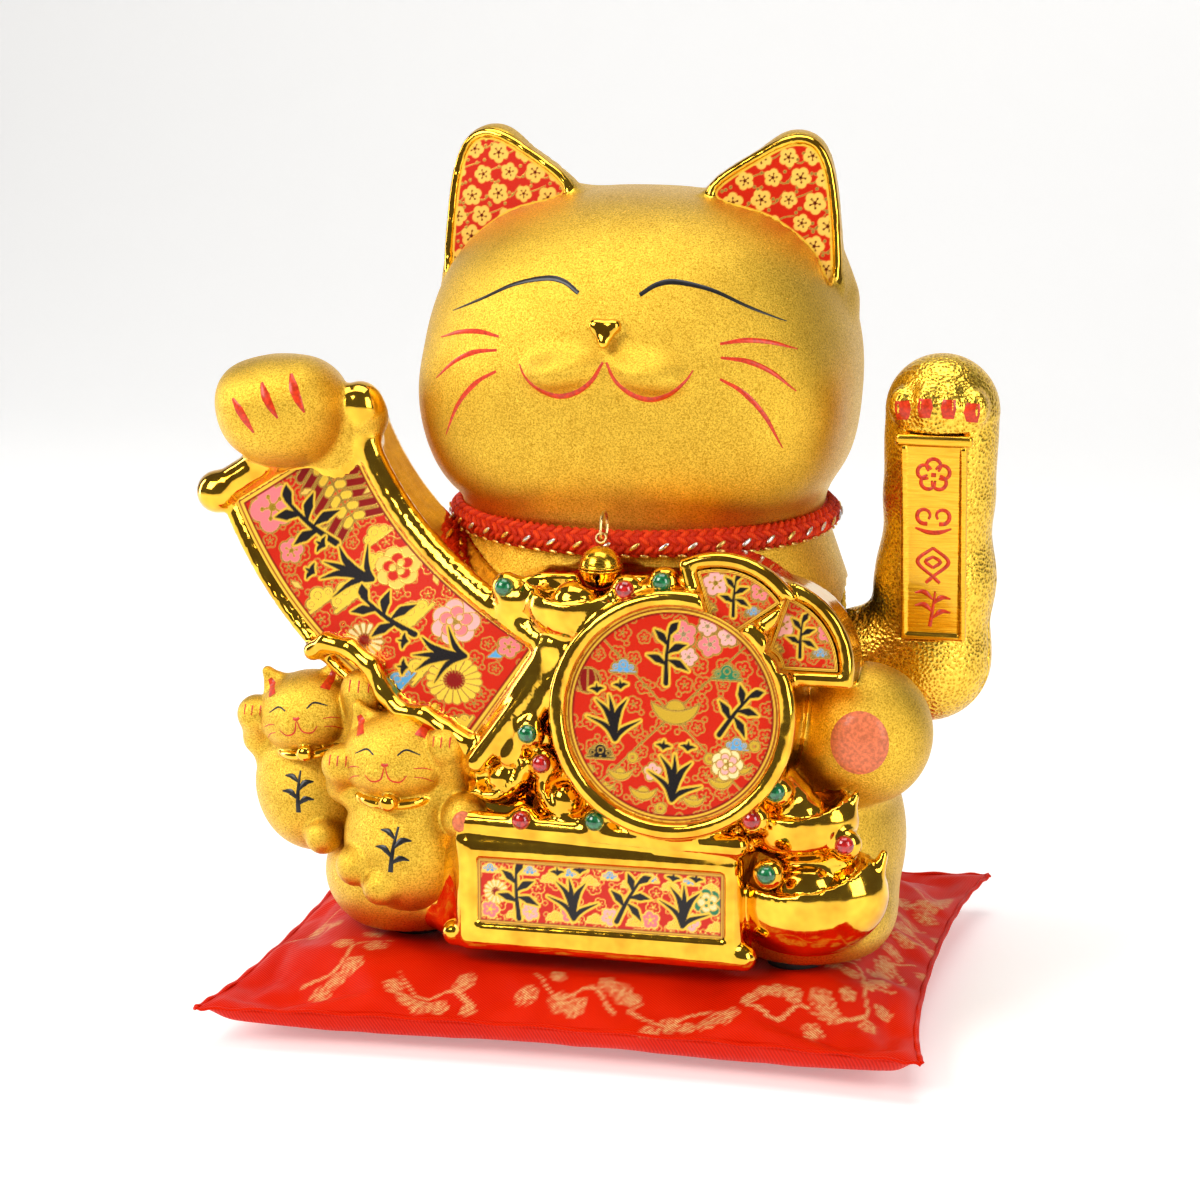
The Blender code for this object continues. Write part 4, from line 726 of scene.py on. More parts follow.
def casting():
    """The whole slip casting, apart from the two kittens."""
    sculpt = Sculpt()
    sculpt.add(torso(), 1.0)
    add_head(sculpt)
    add_legs(sculpt)
    add_raised_arm(sculpt)
    add_drum_and_fans(sculpt)
    add_plaque_block(sculpt)
    add_treasure(sculpt)
    cut_print_pockets(sculpt)
    hollow(sculpt)
    cut_openings(sculpt)
    return sculpt.mesh("casting", 1.4)


# ---------------------------------------------------------------- kittens
def add_kitten(sculpt, head, body, size, lean, paws, feet):
    """A small waving cat: head and body centres, its scale, its lean, and where its paws and feet end."""
    turn = turned("Y", lean)
    head, body = np.array(head, float), np.array(body, float)

    def on_head(x, y, z):
        return head + turn @ (np.array((x, y, z)) * size)

    def on_body(x, y, z):
        return body + turn @ (np.array((x, y, z)) * size)

    sculpt.add(ellipsoid(on_body(0, 0, -3), np.array((23, 18.5, 25)) * size, turn), 1.0)
    sculpt.add(ellipsoid(on_body(0, 2, 14), np.array((17, 14, 16)) * size, turn), 6.0)
    sculpt.add(ellipsoid(on_body(0, -5, -8), np.array((17, 16, 17)) * size, turn), 5.0)
    sculpt.add(ellipsoid(head, np.array((19.0, 16.0, 14.6)) * size, turn), 2.0)
    sculpt.add(ellipsoid(on_head(0, -3, -4), np.array((17.5, 14.0, 10.5)) * size, turn), 4.0)
    for side in (-1, 1):
        tip = on_head(side * 13.8, 0, 16.0)
        sculpt.add(limb(on_head(side * 13.5, 0, 5.5), tip, 3.8 * size, 1.6 * size), 1.8)
        sculpt.add(limb(on_head(side * 6.0, 0, 10), tip, 3.4 * size, 1.6 * size), 1.8)
        sculpt.add(ellipsoid(on_head(side * 3.6, -14.2, -3.2), np.array((4.2, 3.4, 2.8)) * size), 1.2)
    sculpt.add(ring((on_head(0, 0, -13.0), turn @ turned("X", 8)), 13.5 * size, 1.7 * size), 0.6, 1.0)
    sculpt.add(ellipsoid(on_head(0, -15.0, -13.6), np.array((3.2, 2.8, 3.2)) * size), 0.6, 1.0)
    for shoulder, elbow, paw, radius in paws:
        sculpt.add(limb(on_body(*shoulder), elbow, radius * 0.95, radius * 0.9), 2.5)
        sculpt.add(limb(elbow, paw, radius * 0.9, radius), 1.5)
        sculpt.add(ellipsoid(np.array(paw), np.array((1.12, 1.0, 1.08)) * radius), 1.0)
    for foot, radius in feet:
        sculpt.add(ellipsoid(np.array(foot), np.array((1.0, 1.15, 1.0)) * radius), 2.0)


# Paws are given as shoulder, elbow, paw and radius; feet as place and radius.
KITTEN_A = dict(head=(-106.5, -63, 104.5), body=(-107.5, -57, 78), size=0.93, lean=-10,
                paws=(((12, -4, 14), (-87, -66, 98), (-84.5, -70, 113.5), 7.6),
                      ((-14, -2, 12), (-126, -60, 92), (-125.5, -64, 101.5), 6.4)),
                feet=(((-99, -74, 62), 6.5),))
KITTEN_B = dict(head=(-70.0, -79, 95.0), body=(-67.5, -76, 66), size=1.0, lean=-2,
                paws=(((13, -4, 14), (-50, -80, 86), (-51.5, -85, 100.0), 6.4),
                      ((-14, -4, 12), (-90, -78, 82), (-88.5, -84, 91.0), 6.6)),
                feet=(((-44.5, -88, 76.5), 8.0), ((-82.5, -88, 57), 7.5), ((-72.5, -92, 51.5), 7.0)))


def kittens():
    made = []
    for name, kitten in (("kitten_behind", KITTEN_A), ("kitten_in_front", KITTEN_B)):
        sculpt = Sculpt()
        add_kitten(sculpt, **kitten)
        made.append(sculpt.mesh(name, 0.8))
    return made


# ---------------------------------------------------------------- the waving arm
ARM_CHAIN = ((68, 0, 116.5, 15), (82, 0, 115, 20), (101, 0, 119, 22), (104.5, -3, 148, 20),
             (106, -8, 180, 18.2), (106.5, -10, 196.5, 18.2), (107, -11, 209, 19.8))
ARM_DEPTH = 0.86
ARM_SPLIT = -4.0
ARM_WALL = 2.2
ARM_PLATE = front_place((106.0, -21.3, 166.0), -5)
PAW_X = 107.0  # middle of the paw


def arm_lump(inset=0.0):
    """The arm's outer or inner skin: one soft union of round-ended cones, squeezed in depth."""
    squeeze = np.array((1, ARM_DEPTH, 1))
    parts = [limb(np.array(a[:3]) / squeeze, np.array(b[:3]) / squeeze, a[3] - inset, b[3] - inset)
             for a, b in zip(ARM_CHAIN, ARM_CHAIN[1:])]

    def distance(points):
        squeezed = points / squeeze
        total = parts[0].distance(squeezed)
        for part in parts[1:]:
            total = smooth_min(total, part.distance(squeezed), 6.0)[0]
        return total * 0.93

    low = np.min([part.low for part in parts], axis=0) * squeeze
    high = np.max([part.high for part in parts], axis=0) * squeeze
    return Lump(distance, low - 2, high + 2)


def arm_shell(name, low_y, high_y):
    """The hollow arm between two depths; the front half has the knuckles and the plate's recess."""
    sculpt = Sculpt()
    sculpt.add(arm_lump(), 0.1)
    if high_y < 0:
        for x in (-12.6, -4.2, 4.2, 12.6):
            knuckle = (PAW_X + x, -25.5 + abs(x) * 0.22, 213.5 - abs(x) * 0.1)
            sculpt.add(ellipsoid(knuckle, (4.6, 4.4, 6.2)), 2.5)
    sculpt.cut(arm_lump(ARM_WALL), 0.2)
    sculpt.cut(block(LEVEL, (-50, -100, 0), (66, 100, 300), 0.0), 0.1)
    sculpt.cut(block(LEVEL, (0, high_y, 0), (200, 100, 300), 0.0), 0.1)
    sculpt.cut(block(LEVEL, (0, -100, 0), (200, low_y, 300), 0.0), 0.1)
    if high_y < 0:
        sculpt.cut(block(ARM_PLATE, (-13.9, -36.9, 0), (13.9, 37.9, 12), 0.5), 0.3)
    else:
        middle = cad_middle("arm_screw")
        sculpt.cut(limb(middle - (0, 12, 0), middle + (0, 12, 0), 3.2), 0.3)
    return sculpt.mesh(name, 1.0)


def arm_plate():
    sculpt = Sculpt()
    sculpt.add(block(ARM_PLATE, (-11.4, -36.4, 0.3), (11.4, 33.4, 2.4), 0.7), 0.2, 1.0)
    sculpt.add(block(ARM_PLATE, (-13.4, 33.2, 0.3), (13.4, 37.4, 3.2), 1.4), 0.4, 1.0)
    for side in (-1, 1):
        rail = block(ARM_PLATE, (side * 10.2 - 1.2, -36.4, 0.3), (side * 10.2 + 1.2, 33.4, 3.0), 0.9)
        sculpt.add(rail, 0.3, 1.0)
    sculpt.add(block(ARM_PLATE, (-11.4, -36.4, 0.3), (11.4, -34.0, 3.0), 0.9), 0.3, 1.0)
    return sculpt.mesh("arm_name_plate", 0.5)


# ---------------------------------------------------------------- strokes of paint laid on a sculpted skin
class Skin:
    """A mesh that rays can be cast on, in millimetres."""

    def __init__(self, obj):
        points = np.empty(len(obj.data.vertices) * 3, np.float32)
        obj.data.vertices.foreach_get("co", points)
        points = points.reshape(-1, 3) / MM
        faces = np.empty(len(obj.data.loops), np.int32)
        obj.data.loops.foreach_get("vertex_index", faces)
        self.tree = BVHTree.FromPolygons(points.tolist(), faces.reshape(-1, 4).tolist())

    def meet(self, x, y, z):
        """The skin's point and normal straight behind a point, or two Nones."""
        hit, normal, _, _ = self.tree.ray_cast(Vector((x, y, z)), Vector((0, 1, 0)))
        return (None, None) if hit is None else (np.array(hit), np.array(normal))


PAINT_FROM = -160.0  # y from which paint is cast on the skin
STROKE_STEP = 0.7
ACROSS = np.array((-1.0, -0.6, 0.0, 0.6, 1.0))
RISE = np.array((-0.25, 0.10, 0.16, 0.10, -0.25))  # mm above the skin, across a stroke


def stroke(points, faces, skin, path, widths, start=PAINT_FROM, thick=1.0):
    """Adds one stroke: a path in the front plane (x, z), cast on the skin, with widths along it."""
    line = smooth_line(path, 10)
    lengths = np.concatenate([[0], np.cumsum(np.hypot(*np.diff(line, axis=0).T))])
    stations = np.linspace(0, lengths[-1], max(6, int(lengths[-1] / STROKE_STEP)))
    line = np.stack([np.interp(stations, lengths, column) for column in line.T], axis=1)
    half = 0.5 * np.interp(stations / lengths[-1], np.linspace(0, 1, len(widths)), widths)
    tangent = np.gradient(line, axis=0)
    tangent /= np.linalg.norm(tangent, axis=1)[:, None] + 1e-9
    rows = []
    for (x, z), (tx, tz), wide in zip(line, tangent, half):
        row = []
        for across, rise in zip(ACROSS, RISE):
            hit, normal = skin.meet(x - tz * across * wide, start, z + tx * across * wide)
            if hit is None:
                break
            row.append(hit + normal * rise * thick)
        if len(row) == len(ACROSS):
            rows.append(row)
    first = len(points)
    for row in rows:
        points.extend(row)
    wide = len(ACROSS)
    for i in range(len(rows) - 1):
        for j in range(wide - 1):
            a = first + i * wide + j
            faces.append((a, a + 1, a + wide + 1, a + wide))


def painted(name, skin, strokes):
    """One mesh of strokes, each a path, its widths and, where they differ, its start and thickness."""
    points, faces = [], []
    for path, widths, *extra in strokes:
        stroke(points, faces, skin, path, widths, **(extra[0] if extra else {}))
    return mesh_object(name, np.array(points) * MM, np.array(faces))


def mirrored(path):
    return [(-x, z) for x, z in path]


EYE = ((10.5, 253.0), (16.0, 256.4), (22.5, 257.2), (34.0, 254.6), (46.0, 249.0), (58.0, 243.6))
EYE_WIDTHS = (2.0, 2.6, 2.0, 1.5, 1.2, 0.4)
WHISKERS = (((38.0, 237.5), (46.0, 238.4), (54.0, 237.3), (62.0, 234.5)),
            ((38.5, 233.0), (47.0, 231.6), (55.0, 227.6), (62.5, 221.0)),
            ((38.5, 226.0), (46.0, 221.5), (53.0, 213.5), (58.5, 202.0)))
WHISKER_WIDTHS = (1.2, 2.4, 1.9, 0.5)
MOUTH = ((0.6, 231.0), (4.0, 225.0), (9.5, 220.6), (16.0, 219.0), (22.5, 221.2), (27.5, 225.5), (29.8, 229.0))
MOUTH_WIDTHS = (1.2, 2.0, 2.5, 2.7, 2.4, 1.7, 0.6)
CLAWS = (((-129.3, 214.8), (-126.0, 210.0), (-121.9, 203.2)),
         ((-119.1, 220.5), (-116.5, 215.0), (-112.9, 208.7)),
         ((-109.5, 223.4), (-107.0, 217.5), (-103.9, 210.8)))
CLAW_WIDTHS = (1.4, 4.4, 3.6, 1.0)


def face_paint(skin):
    black, red = [], []
    for flip in (list, mirrored):
        black.append((flip(EYE), EYE_WIDTHS))
        red.extend((flip(path), WHISKER_WIDTHS) for path in WHISKERS)
        red.append((flip(MOUTH), MOUTH_WIDTHS))
    red.extend((path, CLAW_WIDTHS) for path in CLAWS)
    return painted("painted_eyes", skin, black), painted("painted_whiskers", skin, red)


SPRIG = ((((-1.0, -8.0), (0.0, 0.0), (1.5, 7.0)), (2.6, 1.9, 1.0)),
         (((-0.4, -3.0), (-3.2, 0.0), (-6.4, 0.4)), (0.9, 3.2, 0.6)),
         (((0.0, 0.0), (3.0, 2.6), (6.2, 2.4)), (0.9, 3.2, 0.6)),
         (((0.6, 3.0), (-2.0, 5.4), (-4.8, 5.8)), (0.9, 2.9, 0.6)),
         (((-0.6, -5.0), (2.6, -3.2), (5.6, -4.0)), (0.9, 3.0, 0.6)))


def kitten_paint(name, skin, kitten):
    """Eyes, nose, mouth, whiskers, inner ears, claws and a sprig on one kitten."""
    size, turn, head = kitten["size"], turned("Y", kitten["lean"]), np.array(kitten["head"])

    def place(path, middle=head):
        return [tuple((middle + turn @ (np.array((x, 0, z)) * size))[[0, 2]]) for x, z in path]

    red = [(place(((-1.2, 0.6), (0, 0.1), (1.2, 0.6))), (1.2, 1.8, 1.2))]
    black = []
    for side in (-1, 1):
        black.append((place(((side * 4.2, 3.4), (side * 7.0, 5.0), (side * 11.5, 3.0))), (0.8, 0.9, 0.4)))
        red.append((place(((side * 0.2, -0.6), (side * 1.6, -4.6), (side * 5.0, -5.6), (side * 7.4, -3.4))),
                    (0.5, 0.9, 0.9, 0.4)))
        for drop in (0.0, -3.0):
            red.append((place(((side * 9.6, -1.2 + drop), (side * 12.5, -1.4 + drop * 1.2),
                               (side * 15.0, -2.6 + drop * 1.5))), (0.4, 0.6, 0.3)))
        red.append((place(((side * 10.4, 8.6), (side * 12.8, 13.6))), (5.0, 2.4)))
    for _, _, paw, radius in kitten["paws"]:
        for shift in (-0.45, 0.0, 0.45):
            x, z = paw[0] + shift * radius, paw[2] + 0.25 * radius
            red.append((((x, z + 0.45 * radius), (x, z - 0.05 * radius)), (0.9, 0.6)))
    body = np.array(kitten["body"])
    black.extend((place(path, body), widths) for path, widths in SPRIG)
    return painted(name + "_black_paint", skin, black), painted(name + "_red_paint", skin, red)


def disc_paint(name, skin, discs):
    """Round pads of paint: each is a centre (x, z), a radius across and a radius up."""
    points, faces = [], []
    for (cx, cz), rx, rz in discs:
        rings, count = 7, 36
        first = len(points)
        for r in range(rings + 1):
            share = r / rings
            for k in range(count):
                angle = 2 * math.pi * k / count
                x, z = cx + rx * share * math.cos(angle), cz + rz * share * math.sin(angle)
                hit, normal = skin.meet(x, PAINT_FROM, z)
                points.append(hit + normal * (0.9 * (1 - share ** 4) - 0.3 * (share == 1)))
        for r in range(rings):
            for k in range(count):
                a, b = first + r * count + k, first + r * count + (k + 1) % count
                faces.append((a, b, b + count, a + count))
    return mesh_object(name, np.array(points) * MM, np.array(faces))


# ---------------------------------------------------------------- printed sheets, painted point by point
RED = (0.60, 0.016, 0.002)
DEEP_RED = (0.24, 0.005, 0.003)
GOLD = (0.92, 0.56, 0.10)
PINK = (0.86, 0.20, 0.22)
PALE_PINK = (0.93, 0.42, 0.40)
CREAM = (0.95, 0.74, 0.36)
YELLOW = (0.93, 0.58, 0.05)
BLUE = (0.10, 0.36, 0.66)
GREEN = (0.02, 0.20, 0.09)
BLACK = (0.008, 0.007, 0.008)
LINE = 0.28  # half-width of the gold outline round each printed shape, in mm
OUTLINE = 0.75  # width of the yellow outline round the black strokes, in mm
CRACKER_PITCH, CRACKER_R = 4.6, 1.7  # in mm
SHEET_STEP = 0.36  # grid step of the printed sheets, in mm
SHEET_THICK = 0.5
SLOPE_SPAN = 0.02  # mm: how far apart two distances are taken to find an outline's slope
FILM_SINK, DRUM_SINK, PLAQUE_SINK = 0.3, 0.7, 0.2  # how far each print lies below its shape's frame
BANNER_LIFT = 0.35  # how far the banner's print stands out of the bar's face


def placer(cx, cy, size, turn):
    """A function that scales, turns and moves a motif's own points."""
    c, s = math.cos(turn), math.sin(turn)
    return lambda x, y: (cx + size * (c * x - s * y), cy + size * (s * x + c * y))


class Print:
    """Ink and foil on the points of a sheet, painted from distances in millimetres."""

    def __init__(self, x, y, ground=RED):
        self.x, self.y = x, y
        self.ink = np.tile(np.array(ground, float), (len(x), 1))
        self.foil = np.zeros(len(x))

    def lay(self, amount, colour, foil):
        """Lays a colour on, as opaque at each point as amount says."""
        self.ink += (np.array(colour) - self.ink) * amount[:, None]
        self.foil += (foil - self.foil) * amount

    def fill(self, depth, colour, foil=0.0, line=LINE):
        """Fills where depth is negative, and draws a gold line round it unless line is 0."""
        self.lay(np.clip(0.5 - depth / 0.3, 0, 1), colour, foil)
        if line:
            self.lay(np.clip(0.5 - (np.abs(depth) - line) / 0.25, 0, 1), GOLD, 1.0)

    def dot(self, cx, cy, radius, colour, foil=0.0, line=0.0):
        self.fill(circle_distance(self.x, self.y, cx, cy, radius), colour, foil, line)

    def stroke_depth(self, path, widths):
        """Distance to a stroke along a smooth path whose width swells and tapers."""
        way = smooth_line(path, 5)
        radii = 0.5 * np.interp(np.linspace(0, 1, len(way)), np.linspace(0, 1, len(widths)), widths)
        depth = np.full(len(self.x), 1e9)
        for i in range(len(way) - 1):
            span = segment_distance(self.x, self.y, way[i], way[i + 1], radii[i], radii[i + 1])
            depth = np.minimum(depth, span)
        return depth

    def brush(self, path, widths, colour, foil=0.0, line=0.0):
        self.fill(self.stroke_depth(path, widths), colour, foil, line)

    def ornament(self, strokes):
        """Black brush strokes with one yellow outline round them all."""
        depth = np.min([self.stroke_depth(path, widths) for path, widths in strokes], axis=0)
        self.fill(depth - OUTLINE, YELLOW, 0.3, 0)
        self.fill(depth, BLACK, 0.0, 0)

    def scatter(self, half, step, seed):
        """A ground of small blossoms and buds drawn in gold line on the red."""
        draws = np.random.default_rng(seed)
        for cx in np.arange(-half[0], half[0] + step, step):
            for cy in np.arange(-half[1], half[1] + step, step):
                x, y = cx + draws.uniform(-0.25, 0.25) * step, cy + draws.uniform(-0.25, 0.25) * step
                radius, turn = draws.uniform(0.30, 0.42) * step, draws.uniform(0, 2 * math.pi)
                self.blossom(x, y, radius, RED, turn, GOLD, 0.16)
                bud = (x + 0.5 * step * math.cos(turn), y + 0.5 * step * math.sin(turn))
                self.dot(*bud, 0.12 * step, RED, 0, 0.14)

    def blossom(self, cx, cy, radius, colour, turn, heart=YELLOW, line=LINE):
        """Five round petals, a ring of stamens with dotted tips, and a heart."""
        angles = turn + 2 * np.pi * np.arange(5) / 5
        spread, petal = radius * 0.56, radius * 0.47
        middles = [(cx + spread * np.cos(a), cy + spread * np.sin(a)) for a in angles]
        depth = np.min([circle_distance(self.x, self.y, *middle, petal) for middle in middles], axis=0)
        self.fill(depth, colour, 0.0, line)
        for a in angles:
            tip = (cx + radius * 0.46 * math.cos(a), cy + radius * 0.46 * math.sin(a))
            self.fill(segment_distance(self.x, self.y, (cx, cy), tip, radius * 0.035), heart, 1.0, 0)
            self.dot(*tip, radius * 0.09, heart, 1.0)
        self.dot(cx, cy, radius * 0.16, heart, 1.0)

    def daisy(self, cx, cy, radius, colour, petals=14):
        """Narrow petals round a dotted heart."""
        for k in range(petals):
            a = 2 * math.pi * k / petals
            inner = (cx + radius * 0.35 * math.cos(a), cy + radius * 0.35 * math.sin(a))
            outer = (cx + radius * 0.86 * math.cos(a), cy + radius * 0.86 * math.sin(a))
            petal = segment_distance(self.x, self.y, inner, outer, radius * 0.06, radius * 0.14)
            stamen = segment_distance(self.x, self.y, (cx, cy), inner, radius * 0.03, radius * 0.05)
            self.fill(petal, colour, 0.0, 0.16)
            self.fill(stamen, DEEP_RED, 0, 0)
        self.dot(cx, cy, radius * 0.16, DEEP_RED)

    def peony(self, cx, cy, radius, colours, turn=0.0):
        """Rings of round petals, the outer ones first."""
        for ring_number, share in enumerate((1.0, 0.68, 0.38)):
            count = 7 - 2 * ring_number
            for k in range(count):
                a = turn + 2 * math.pi * (k + 0.5 * ring_number) / count
                spread = radius * share * 0.62
                self.dot(cx + spread * math.cos(a), cy + spread * math.sin(a), radius * share * 0.40,
                         colours[ring_number % len(colours)], 0.0, 0.2)
        self.dot(cx, cy, radius * 0.12, GOLD, 1.0)

    def cloud(self, cx, cy, size, colour, flip=1):
        """Three lobes on a flat tail, with a gold curl in each."""
        lobes = ((-0.75, 0.0, 0.42), (0.0, 0.25, 0.60), (0.75, 0.0, 0.40), (0.35, -0.25, 0.35),
                 (-0.35, -0.25, 0.35))
        depth = np.min([circle_distance(self.x, self.y, cx + flip * size * x, cy + size * y, size * r)
                        for x, y, r in lobes], axis=0)
        tail = segment_distance(self.x, self.y, (cx - size * 1.25, cy - size * 0.42),
                                (cx + size * 1.25, cy - size * 0.42), size * 0.14)
        self.fill(np.minimum(depth, tail), colour)
        for x, y, r in lobes[:3]:
            curl = circle_distance(self.x, self.y, cx + flip * size * x, cy + size * y, size * r * 0.45)
            self.lay(np.clip(0.5 - (np.abs(curl) - 0.12) / 0.25, 0, 1), GOLD, 1.0)

    def leaf(self, cx, cy, length, turn, colour):
        """A pointed leaf from (cx, cy)."""
        way = np.array((math.cos(turn), math.sin(turn))) * length
        self.brush(((cx, cy), (cx + way[0] * 0.5, cy + way[1] * 0.5), (cx + way[0], cy + way[1])),
                   (0.2, length * 0.42, 0.1), colour, 0.0, 0.18)

    def ingot(self, cx, cy, size):
        """A small boat-shaped ingot."""
        hull = np.maximum(circle_distance(self.x, self.y, cx, cy + size * 0.55, size),
                          self.y - cy - size * 0.10 - 0.35 * (self.x - cx) ** 2 / size)
        self.dot(cx, cy + size * 0.12, size * 0.42, YELLOW, 0.6, 0.2)
        self.fill(hull, YELLOW, 0.6, 0.25)

    def coin(self, cx, cy, radius):
        """A round coin with a square hole."""
        self.dot(cx, cy, radius, YELLOW, 0.6, 0.2)
        hole = np.maximum(np.abs(self.x - cx), np.abs(self.y - cy)) - radius * 0.25
        self.fill(hole, RED, 0.0, 0.15)

    def bamboo(self, cx, cy, size, turn):
        """A brush ornament: one jointed stem and a spray of pointed leaves."""
        at = placer(cx, cy, size, turn)
        stem = (at(-0.15, -1.0), at(-0.05, 0.0), at(0.15, 1.0))
        strokes = [(stem, (size * 0.20, size * 0.14, size * 0.10))]
        for x, y, long, way in ((-0.05, -0.35, 0.85, 2.6), (-0.02, 0.1, 0.8, 0.35), (0.05, 0.35, 0.8, 2.2),
                                (0.0, -0.15, 0.85, -0.55), (0.1, 0.75, 0.6, 0.9)):
            mid = at(x + 0.5 * long * math.cos(way), y + 0.5 * long * math.sin(way) + 0.06)
            tip = at(x + long * math.cos(way), y + long * math.sin(way))
            strokes.append(((at(x, y), mid, tip), (size * 0.06, size * 0.30, size * 0.03)))
        self.ornament(strokes)

    def orchid(self, cx, cy, size, turn):
        """A brush ornament: long grass blades that arch from one root, with two small flowers."""
        at = placer(cx, cy, size, turn)
        strokes = []
        for bend, reach, wide in ((-1.0, 0.55, 0.20), (-0.62, 1.0, 0.24), (-0.1, 1.1, 0.20),
                                  (0.55, 0.95, 0.26), (1.0, 0.35, 0.20)):
            blade = (at(0.02 * bend, -0.95), at(0.30 * bend, -0.95 + reach), at(bend, -0.75 + 1.35 * reach))
            strokes.append((blade, (size * 0.12, size * wide, size * 0.03)))
        for x, y in ((-0.55, 0.85), (0.35, 0.95)):
            for k in range(3):
                a = math.pi * (0.15 + 0.35 * k)
                middle = at(x + 0.12 * math.cos(a), y + 0.14)
                tip = at(x + 0.3 * math.cos(a), y + 0.32 * math.sin(a))
                strokes.append(((at(x, y), middle, tip), (size * 0.05, size * 0.15, size * 0.04)))
        self.ornament(strokes)

    def crackers(self, cx, cy, rows, length, turn):
        """A string of fire-crackers in two slanting columns on a cord."""
        at = placer(cx, cy, 1, turn)
        for row in range(rows):
            y = -row * CRACKER_PITCH
            for side in (-1, 1):
                start, end = at(side * 1.6, y), at(side * (1.6 + length), y - length * 0.5)
                cap = at(side * 3.0, y - 0.7)
                self.fill(segment_distance(self.x, self.y, start, end, CRACKER_R), DEEP_RED, 0.0, 0.3)
                self.fill(segment_distance(self.x, self.y, start, cap, CRACKER_R * 0.9), YELLOW, 0.2, 0.16)
        self.brush((at(0, 2.0), at(0, -rows * CRACKER_PITCH)), (0.7, 0.7), GOLD, 1.0)


def sheet(name, shape, paint, surface):
    """A thin closed sheet with the shape's outline, painted by paint and laid on surface(x, y, out)."""
    step = SHEET_STEP
    half = shape.half + step
    xs = np.arange(-half[0], half[0] + step, step)
    ys = np.arange(-half[1], half[1] + step, step)
    x, y = [a.ravel() for a in np.meshgrid(xs, ys, indexing="ij")]
    depth = shape.distance(x, y)
    rows, columns = len(xs), len(ys)
    index = np.arange(rows * columns).reshape(rows, columns)
    cells = np.stack([index[:-1, :-1], index[1:, :-1], index[1:, 1:], index[:-1, 1:]], axis=-1).reshape(-1, 4)
    cells = cells[(depth[cells] < 0.15 * step).sum(axis=1) >= 3]
    for _ in range(3):
        edge = np.zeros(len(x), bool)
        edge[np.unique(cells)] = True
        edge &= depth > -0.8 * step
        slope_x = (shape.distance(x + SLOPE_SPAN, y) - depth) / SLOPE_SPAN
        slope_y = (shape.distance(x, y + SLOPE_SPAN) - depth) / SLOPE_SPAN
        border = boundary_points(cells, len(x)) & edge
        x = np.where(border, x - depth * slope_x, x)
        y = np.where(border, y - depth * slope_y, y)
        depth = shape.distance(x, y)
    used, cells = np.unique(cells, return_inverse=True)
    cells = cells.reshape(-1, 4)
    x, y, depth = x[used], y[used], depth[used]
    inks = Print(x, y)
    paint(inks, depth)
    top, base = surface(x, y, 0.0), surface(x, y, -SHEET_THICK)
    count = len(top)
    faces = [cells, cells[:, ::-1] + count, skirt(cells, count)]
    obj = mesh_object(name, np.concatenate([top, base]) * MM, np.concatenate(faces))
    obj.data.set_sharp_from_angle(angle=math.radians(50))
    paint_points(obj, np.tile(inks.ink, (2, 1)), np.tile(inks.foil, 2))
    return obj


def edge_pairs(cells):
    """The edges that only one cell has, as pairs of points in that cell's order."""
    pairs = np.concatenate([cells[:, [i, (i + 1) % 4]] for i in range(4)])
    low, high = pairs.min(axis=1), pairs.max(axis=1)
    _, first, counts = np.unique(low.astype(np.int64) * 10 ** 8 + high, return_index=True, return_counts=True)
    return pairs[first[counts == 1]]


def boundary_points(cells, count):
    on_edge = np.zeros(count, bool)
    on_edge[np.unique(edge_pairs(cells))] = True
    return on_edge


def skirt(cells, offset):
    """Faces that join a sheet's open edge to a copy of it whose points come offset later."""
    pairs = edge_pairs(cells)
    return np.stack([pairs[:, 1], pairs[:, 0], pairs[:, 0] + offset, pairs[:, 1] + offset], axis=1)


def paint_points(obj, ink, foil):
    """Stores a colour and an amount of foil for each point of a mesh."""
    colours = np.concatenate([ink, np.ones((len(ink), 1))], axis=1).astype(np.float32)
    obj.data.color_attributes.new("ink", "FLOAT_COLOR", "POINT").data.foreach_set("color", colours.ravel())
    store(obj, "foil", foil)


def gold_edge(inks, depth, wide, inner=0.0):
    """A yellow border, with thin dark-red lines inside it and along its middle."""
    if inner:
        inks.fill(-(depth + wide + inner), DEEP_RED, 0.0, 0)
    inks.fill(-(depth + wide), YELLOW, 0.0, 0)
    if inner:
        inks.fill(np.abs(depth + wide * 0.45) - inner * 0.4, DEEP_RED, 0.0, 0)


def paint_ear(inks, depth):
    """Rows of small gold blossoms joined by twigs."""
    draws = np.random.default_rng(7)
    for row in range(-5, 6):
        for column in range(-4, 5):
            cx = column * 9.4 + (row % 2) * 4.7 + draws.uniform(-0.8, 0.8)
            cy = row * 7.6 + draws.uniform(-0.8, 0.8)
            turn = draws.uniform(0, 2 * math.pi)
            radius = draws.uniform(2.9, 3.9)
            twig = ((cx, cy), (cx + 4.4, cy + 2.6 * math.cos(turn)), (cx + 8.0, cy + 3.0))
            inks.brush(twig, (0.5, 0.4, 0.3), GOLD, 1.0)
            inks.blossom(cx, cy, radius, GOLD, turn, DEEP_RED, 0)
            for k in range(3):
                a = turn + 2.1 * k
                inks.dot(cx + 5.4 * math.cos(a), cy + 5.0 * math.sin(a), 0.55, GOLD, 1.0)
    inks.foil *= 0.9
    gold_edge(inks, depth, 0.8)


